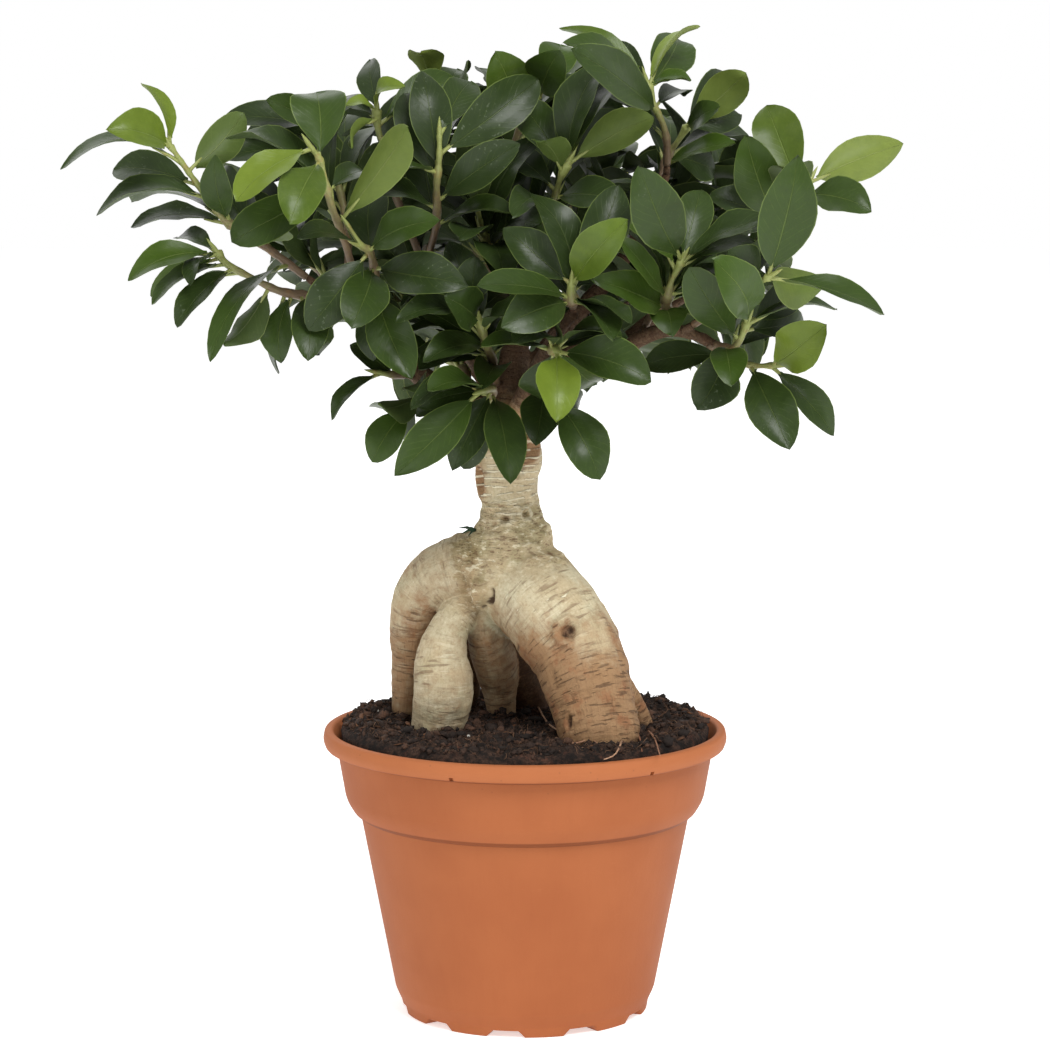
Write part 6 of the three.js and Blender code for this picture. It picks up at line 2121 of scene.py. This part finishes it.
class Crown:
    """The layout of every stem and leaf."""

    def __init__(self) -> None:
        """Lays out the whole crown."""
        self.stems = [Stem(row, order) for order, row in enumerate(SEEN_STEMS + FILL_STEMS)]
        self.thicket = Thicket(self.list_wood())
        self.waiting: list[tuple[Stem, tuple]] = []
        self.listed: list[Leaf] = []
        for stem in self.stems:
            self.place_seen(stem)
        for stem in self.stems:
            self.grow(stem, replace(FILL, count=stem.row.count), lambda _, leaf: True)
        for stem, listed in self.waiting:
            if not self.place(stem, listed, LAYOUT.late_shifts, INNER.ease):
                LOG.info("%s: the leaf to %s has no clear place", stem.row.name, listed[1])
        for stem in self.stems:
            self.grow(stem, INNER, self.lies_within)
        self.seen = from_front(np.concatenate([leaf.tests for leaf in self.listed]))
        self.seen_reach = np.full(len(self.seen), LAYOUT.cover_reach)
        bare = self.thicket.wood_stem < 0
        self.bare = from_front(self.thicket.wood_start[bare])
        self.bare_reach = self.thicket.wood_radius[bare] + LAYOUT.cover_beyond
        for stem in self.stems:
            self.grow(stem, COVER, self.covers_limbs)

    @property
    def spurs(self) -> list[Spur]:
        """The start, end and radius of each spur."""
        return [(stem.start, stem.knots[0], LAYOUT.spur_radius) for stem in self.stems]

    def list_wood(self) -> list[tuple[Array, Array, float, int]]:
        """Lists the limbs, the trunk's top, the spurs and the twigs as straight stretches.

        Returns:
            The start, end, radius and stem number of each stretch, with -1 for no stem.
        """
        wood = []
        for limb in LIMBS.values():
            points, radii = limb.samples
            wood += [(points[k], points[k + 1], radii[k], -1) for k in range(len(points) - 1)]
        for above, below in zip(TRUNK[:6], TRUNK[1:7]):
            wood.append((np.array(above[:3], float), np.array(below[:3], float), above[3], -1))
        for stem in self.stems:
            wood.append((stem.start, stem.spur_end, LAYOUT.spur_radius, -1))
            wood += [(a, b, LAYOUT.twig_radius, stem.order) for a, b in zip(stem.knots, stem.knots[1:])]
        return wood

    def place(self, stem: Stem, listed: tuple, shifts: Row, ease: float) -> bool:
        """Places a listed leaf, nearer or farther along the line of sight until it is clear.

        Args:
            stem: The stem that carries it.
            listed: Its place along the stem, tip, width, turn, rise, bow and tone.
            shifts: How far to move it, in the order in which they are tried.
            ease: The share of the full clearances to keep.

        Returns:
            True if it found a clear place.
        """
        place, tip, width, turn, rise, bow, tone = listed
        target = np.array(tip, float)
        sight = (target - np.array(View.eye)) / -View.eye[1]
        for shift in shifts:
            leaf = Leaf(stem.point(place), target + sight * shift, facing_of(turn, rise), width, bow)
            if self.thicket.clear(leaf, stem.order, ease):
                leaf.tone = tone
                self.thicket.add(leaf, stem.order)
                stem.leaves.append(leaf)
                self.listed.append(leaf)
                return True
        return False

    def place_seen(self, stem: Stem) -> None:
        """Places the listed leaves of a stem; one that finds no clear place waits for the end.

        Args:
            stem: The stem that carries them.
        """
        for listed in stem.row.leaves:
            if not self.place(stem, listed, LAYOUT.shifts, 1.0):
                self.waiting.append((stem, listed))

    def grow(self, stem: Stem, rule: Growth, fits: Callable[[Stem, Leaf], bool]) -> None:
        """Grows leaves of one kind on a stem and keeps those that have a clear place.

        Args:
            stem: The stem that carries them.
            rule: How they grow.
            fits: Tells if such a leaf is wanted on such a stem.
        """
        for i in range(rule.count):
            draw = draws(stem.order * 1000 + i * rule.step + rule.seed)
            for _ in range(LAYOUT.attempts):
                leaf = stem.grow_leaf(i, rule.count, draw, rule.size)
                if not fits(stem, leaf) or not inside_outline(leaf):
                    continue
                if self.thicket.clear(leaf, stem.order, rule.ease):
                    if rule.tone:
                        leaf.tone = rule.tone * draw()
                    self.thicket.add(leaf, stem.order)
                    stem.leaves.append(leaf)
                    break

    @staticmethod
    def lies_within(stem: Stem, leaf: Leaf) -> bool:
        """Tells if a leaf helps to close the crown: on a stem with listed leaves it has to grow backwards.

        Args:
            stem: The stem that carries it.
            leaf: The leaf.

        Returns:
            True if it does.
        """
        ahead = stem.row.leaves and leaf.tip[1] < leaf.base[1] - LAYOUT.inner_ahead
        return not ahead and leaf.tip[1] <= LAYOUT.deepest

    @staticmethod
    def hides(leaf: Leaf, spots: Array, reach: Array) -> float:
        """Works out how much of a leaf lies in front of some spots.

        Args:
            leaf: The leaf.
            spots: The spots as drawn from the front.
            reach: How far each spot reaches round itself.

        Returns:
            The share of the leaf's test points with a spot behind them.
        """
        own = from_front(leaf.tests)
        around = reach[:, None]
        near = (spots[:, :2] > own.min(0)[:2] - around).all(1)
        near &= (spots[:, :2] < own.max(0)[:2] + around).all(1)
        spots, reach = spots[near], reach[near]
        gaps = np.hypot(own[:, 0, None] - spots[:, 0], own[:, 1, None] - spots[:, 1])
        return float(((gaps < reach) & (own[:, 2, None] < spots[:, 2])).any(1).mean())

    def covers_limbs(self, _: Stem, leaf: Leaf) -> bool:
        """Tells if a leaf stands in front of bare limbs and hides little of the listed leaves.

        Args:
            _: The stem that carries it, whatever it is.
            leaf: The leaf.

        Returns:
            True if it does.
        """
        if leaf.tip[1] > LAYOUT.deepest or self.hides(leaf, self.bare, self.bare_reach) < LAYOUT.cover_least:
            return False
        return self.hides(leaf, self.seen, self.seen_reach) <= LAYOUT.cover_most


# The leafy stems.
def vary(draw: np.random.Generator, limits: Row) -> float:
    """Draws a size from its least and how much more it may be."""
    return limits[0] + limits[1] * draw.random()


class LeafBlank:
    """The one leaf that all are copied from: two sheets with one rim, whose points are shares."""

    def __init__(self, columns: int = 4, rows: int = 12) -> None:
        """Models the blank from a grid and a lower copy of it, joined at the rim.

        Args:
            columns: Faces across the blade.
            rows: Faces along it.
        """
        clear_selection()
        bpy.ops.mesh.primitive_grid_add(x_subdivisions=columns, y_subdivisions=rows, size=2)
        blank = bpy.context.object
        bpy.ops.object.mode_set(mode="EDIT")
        bpy.ops.mesh.select_all(action="SELECT")
        bpy.ops.mesh.duplicate()
        bpy.ops.mesh.flip_normals()
        bpy.ops.transform.translate(value=(0, 0, -1))
        bpy.ops.mesh.select_all(action="DESELECT")
        bpy.ops.object.mode_set(mode="OBJECT")
        for vertex in blank.data.vertices:
            at_rim = max(abs(vertex.co.x), abs(vertex.co.y)) > 0.999
            vertex.select = at_rim and vertex.co.z < -0.5
        bpy.ops.object.mode_set(mode="EDIT")
        bpy.ops.transform.translate(value=(0, 0, 1))
        bpy.ops.mesh.select_all(action="SELECT")
        bpy.ops.mesh.remove_doubles(threshold=0.001)
        bpy.ops.object.mode_set(mode="OBJECT")
        points, self.faces = take_shape(blank)
        share = (points[:, 1] + 1) / 2
        self.q = np.sign(points[:, 0]) * np.abs(points[:, 0]) ** 0.85
        self.along = 0.3 * share + 0.7 * (0.5 - 0.5 * np.cos(math.pi * share))
        self.below = points[:, 2] < -0.5
        self.sides = [int(self.below[face].any()) for face in self.faces]


@dataclass
class LeafyStems:
    """Every leafy stem of the crown: a twig with its bud, stalks and leaves, one piece for each stem.

    A pair of sizes is the least and how much more is drawn on top of it.
    """

    crown: Crown
    blade_start: float = 0.1
    thickness: float = 0.42
    rib_height: float = 0.35
    stalk_radius: float = 0.62
    stalk_sides: int = 6
    twig_foot: float = 1.15
    twig_tip: float = 0.6
    twig_sides: int = 8
    bud_length: float = 6.0
    slender: Row = (0.87, 0.13)
    base_form: Row = (0.75, 0.3)
    tip_form: Row = (0.55, 0.32)
    fold: Row = (0.22, 0.3)
    waves: Row = (1.2, 1.4)
    ripple: Row = (0.05, 0.06)
    curl: Row = (0.15, 0.7)
    twist: float = 0.9
    sway: float = 0.09
    seed: int = 7

    @staticmethod
    def half_width(along: Array, half: float, base: float, tip: float) -> Array:
        """Half the width of a blade.

        Args:
            along: Shares of the blade's length.
            half: Half its greatest width.
            base: How slender its base is, from 0.
            tip: How slender its tip is, from 0.

        Returns:
            Half the width at each share.
        """
        widest = base / (base + tip)
        outline = (along / widest) ** base * ((1 - along) / (1 - widest)) ** tip
        return np.maximum(half * outline, LAYOUT.stalk_half_width * (1 - along) + 0.05)

    def add_blade(self, bunch: Bunch, blank: LeafBlank, leaf: Leaf, draw: np.random.Generator) -> None:
        """Bends a copy of the blank into one leaf.

        Args:
            bunch: The stem's shapes so far.
            blank: The blank.
            leaf: The leaf's place and form.
            draw: The seeded draws, for the small differences between leaves.
        """
        t = self.blade_start + (1 - self.blade_start) * blank.along
        bend = leaf.length * 4 * t * (1 - t)
        half = leaf.half * vary(draw, self.slender)
        half = self.half_width(blank.along, half, vary(draw, self.base_form), vary(draw, self.tip_form))
        across = blank.q * half
        lift = leaf.bow * bend + vary(draw, self.fold) * (np.sqrt(across**2 + 0.5) - math.sqrt(0.5))
        phase, waves, ripple = draw.random(), vary(draw, self.waves), vary(draw, self.ripple)
        wave = ripple * leaf.half * blank.q**2 * np.sin(2 * math.pi * (waves * t + phase) + blank.q)
        twist = self.twist * (draw.random() - 0.5) * (t - 0.4)
        sway = self.sway * (draw.random() - 0.5) * bend
        curl = -0.5 * leaf.half * smooth_step(t, 0.72, 1.05) * vary(draw, self.curl)
        height = lift + wave + curl + across * np.sin(twist)
        rib = np.exp(-((blank.q / 0.3) ** 2)) * (1 - 0.7 * t)
        thick = np.where(blank.below, self.thickness + self.rib_height * rib, 0.12 * rib)
        up = leaf.normal - np.outer(leaf.bow * 4 * (1 - 2 * t), leaf.axis)
        up /= np.linalg.norm(up, axis=1)[:, None]
        points = leaf.base + np.outer(leaf.length * t, leaf.axis) + np.outer(height, leaf.normal)
        points += np.outer(across * np.cos(twist) + sway, leaf.side) - up * thick[:, None]
        flat = np.column_stack(((blank.q + 1) / 2, blank.along))
        bunch.add((points, blank.faces), blank.sides, (leaf.tone, draw.random(), 0.0), flat)

    def add_stalk(self, bunch: Bunch, leaf: Leaf) -> None:
        """Adds a leaf's stalk, from inside the twig to just under the blade.

        Args:
            bunch: The stem's shapes so far.
            leaf: The leaf.
        """
        t = np.array((0.0, 0.05, 0.1, 0.16, 0.24))
        path = leaf.points(t, np.zeros(5)) - np.outer((0.3, 0.4, 0.5, 0.6, 0.55), leaf.normal)
        radii = self.stalk_radius * np.array((1.25, 1.0, 0.95, 0.8, 0.4))
        bunch.add_tube(path, radii, self.stalk_sides, 2, (0.62 + 0.4 * leaf.tone, 0, 0))

    def add_twig(self, bunch: Bunch, stem: Stem) -> None:
        """Adds the twig, swollen where its leaves stand, and its pointed bud.

        Args:
            bunch: The stem's shapes so far.
            stem: The stem.
        """
        knots = Curve([tuple(knot) for knot in stem.knots])
        places = np.linspace(0, knots.last, knots.last * 7 + 1)
        share = places / knots.last
        path = knots.line(places)
        radii = self.twig_foot + (self.twig_tip - self.twig_foot) * share
        for leaf in stem.leaves:
            away = np.linalg.norm(path - leaf.base, axis=1)
            radii = radii + 0.28 * np.exp(-((away / 1.6) ** 2))
        along = unit(path[-1] - path[-2])
        bud = np.array((0.12, 0.35, 0.65, 0.88, 1.0)) * self.bud_length
        path = np.concatenate((path, path[-1] + np.outer(bud, along)))
        radii = np.concatenate((radii, np.array((1.15, 1.2, 0.8, 0.38, 0.08)) * self.twig_tip))
        fresh = np.concatenate((0.15 + 0.6 * share, np.full(5, 1.0)))
        mark = np.repeat(np.column_stack((fresh, np.zeros((len(fresh), 2)))), self.twig_sides, axis=0)
        bunch.add_tube(path, radii, self.twig_sides, 2, mark)

    def build(self) -> None:
        """Builds and dresses every leafy stem."""
        blank = LeafBlank()
        finishes = leaf_finishes()
        for stem in self.crown.stems:
            draw = np.random.default_rng(self.seed * 1000 + stem.order)
            bunch = Bunch()
            self.add_twig(bunch, stem)
            for leaf in stem.leaves:
                self.add_stalk(bunch, leaf)
                self.add_blade(bunch, blank, leaf, draw)
            piece = bunch.make("leafy_stem_" + stem.row.name, finishes)
            hand_over(piece, Slot.LEAF, ["spray_" + stem.row.name])


@dataclass
class Rootlets:
    """Fine roots that run out over the soil, and the tiny shoot on the collar, by the front view's pixels."""

    view: View
    level: float = 87.2
    runs: tuple[tuple[tuple[float, float], ...], ...] = (
        ((536, 702), (541, 711), (548, 720), (556, 728), (564, 734), (575, 741)),
        ((560, 733), (568, 737), (575, 735), (588, 738), (597, 744)),
        ((563, 738), (572, 742), (586, 741), (592, 735)), ((556, 736), (562, 743), (573, 744), (583, 748)),
        ((570, 728), (572, 736), (566, 744)), ((636, 728), (640, 738), (642, 748)),
        ((648, 733), (655, 742), (660, 752)), ((622, 745), (616, 752), (604, 756)),
    )
    radius: float = 0.34
    shoot: tuple[float, float] = (476.0, 530.0)
    shoot_tips: tuple[tuple[float, float], ...] = ((458, 528), (461, 534), (466, 529), (468, 536), (464, 532))

    def build_roots(self, ground: Ground) -> Piece:
        """Lays the rootlets over the soil.

        Args:
            ground: The soil.

        Returns:
            All of them as one piece.
        """
        bunch = Bunch()
        for run in self.runs:
            path = np.array([self.view.on_level(pixel, self.level) for pixel in run])
            path[:, 2] = np.maximum(ground.height(path[:, :2]) + 0.5, self.level - 0.6)
            curve = Curve([tuple(row) for row in path])
            places = np.linspace(0, curve.last, curve.last * 3 + 1)
            line = curve.line(places)
            line[:, 2] += 0.35 * np.sin(places * 2.4)
            radii = self.radius * (1 - 0.6 * places / curve.last)
            bunch.add_tube(line, radii, 6, 0, (0.5 + 0.5 * math.sin(len(run) * 3.0 + run[0][0]), 0, 0))
        return bunch.make("fine_roots", [BitFinish("rootlet", (150, 98, 72), (196, 158, 128)).make()])

    def build(self, ground: Ground, wood: Piece) -> None:
        """Builds and dresses the rootlets and the shoot.

        Args:
            ground: The soil that the rootlets lie on.
            wood: The tree's skin, which the shoot grows from.
        """
        hand_over(self.build_roots(ground), Slot.BARK)
        foot = self.view.on_piece(self.shoot, wood)
        if foot is None:
            LOG.warning("the shoot has no bark under it")
            return
        tuft = Bunch()
        for pixel in self.shoot_tips:
            tip = self.view.on_level(pixel, foot[1], axis=1)
            path = np.array((foot, (foot + tip) / 2 + (0, 0, 0.5), tip))
            tuft.add_tube(path, [0.3, 0.4, 0.06], 5)
        sprig = tuft.make("collar_shoot", [BitFinish("shoot_green", (46, 66, 44), (46, 66, 44)).make()])
        hand_over(sprig, Slot.LEAF)


# The studio.
@dataclass
class Studio:
    """Camera, floor and lights. The aim and a panel's place and size are metres, its power is watts."""

    view: View
    floor_size: float = 9000.0
    backdrop: float = 1.0
    surroundings: float = 0.48
    floor_glow: float = 0.56
    aim: Row = (0.0, 0.0, 0.17)
    panels: tuple[tuple[str, Row, float, float], ...] = (
        ("key", (0.5, -1.0, 1.3), 0.7, 21),
        ("fill", (-1.2, -0.8, 0.7), 0.9, 4),
        ("back", (-0.6, 1.4, 1.3), 1.6, 11),
    )

    def place_camera(self) -> None:
        """Puts the camera where the photograph was taken."""
        data = bpy.data.cameras.new("camera")
        data.lens = self.view.lens
        data.sensor_width = self.view.sensor
        data.clip_start = 0.05
        data.clip_end = 50
        camera = bpy.data.objects.new("camera", data)
        camera.location = [part * MM for part in self.view.eye]
        camera.rotation_euler = (math.radians(90 - self.view.down), 0, 0)
        bpy.context.scene.collection.objects.link(camera)
        bpy.context.scene.camera = camera

    def lay_floor(self) -> None:
        """Lays the plain pale floor."""
        clear_selection()
        bpy.ops.mesh.primitive_plane_add(size=self.floor_size * MM)
        floor = bpy.context.object
        floor.name = "floor"
        sheet = NodeSheet("floor_white", 0.9, 0.1, (255, 255, 255))
        glow = {"Emission Color": (1, 1, 1, 1), "Emission Strength": self.floor_glow}
        sheet.set_inputs(sheet.shader, {"Base Color": (0.9, 0.9, 0.9, 1), **glow})
        floor.data.materials.append(sheet.material)

    def add_panel(self, name: str, place: Row, size: float, power: float) -> None:
        """Adds one soft square light that points at the aim.

        Args:
            name: The light's name.
            place: Where it hangs.
            size: Its side.
            power: Its power.
        """
        data = bpy.data.lights.new(name, "AREA")
        data.shape = "SQUARE"
        data.size = size
        data.energy = power
        lamp = bpy.data.objects.new(name, data)
        lamp.location = place
        lamp.rotation_euler = (Vector(self.aim) - Vector(place)).to_track_quat("-Z", "Y").to_euler()
        bpy.context.scene.collection.objects.link(lamp)

    def light(self) -> None:
        """Sets the white surroundings and the soft lights."""
        world = bpy.data.worlds.new("studio")
        bpy.context.scene.world = world
        world.use_nodes = True
        tree = world.node_tree
        back = tree.nodes["Background"]
        back.inputs["Color"].default_value = (1, 1, 1, 1)
        ray = tree.nodes.new("ShaderNodeLightPath")
        strength = tree.nodes.new("ShaderNodeMapRange")
        strength.inputs["To Min"].default_value = self.surroundings
        strength.inputs["To Max"].default_value = self.backdrop
        tree.links.new(ray.outputs["Is Camera Ray"], strength.inputs["Value"])
        tree.links.new(strength.outputs[0], back.inputs["Strength"])
        for panel in self.panels:
            self.add_panel(*panel)
        bpy.context.scene.view_settings.view_transform = "Standard"

    def build(self) -> None:
        """Builds the whole studio."""
        self.place_camera()
        self.lay_floor()
        self.light()


def main() -> None:
    """Builds every part of the bonsai around the frame, in order."""
    logging.basicConfig(level=logging.INFO, format="%(message)s")
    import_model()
    view = View()
    Studio(view).build()
    Pot().build()
    ground = Ground()
    ground.build()
    crown = Crown()
    wood = Wood(view).build(crown.spurs)
    Rootlets(view).build(ground, wood)
    LeafyStems(crown).build()


if __name__ == "__main__":
    main()
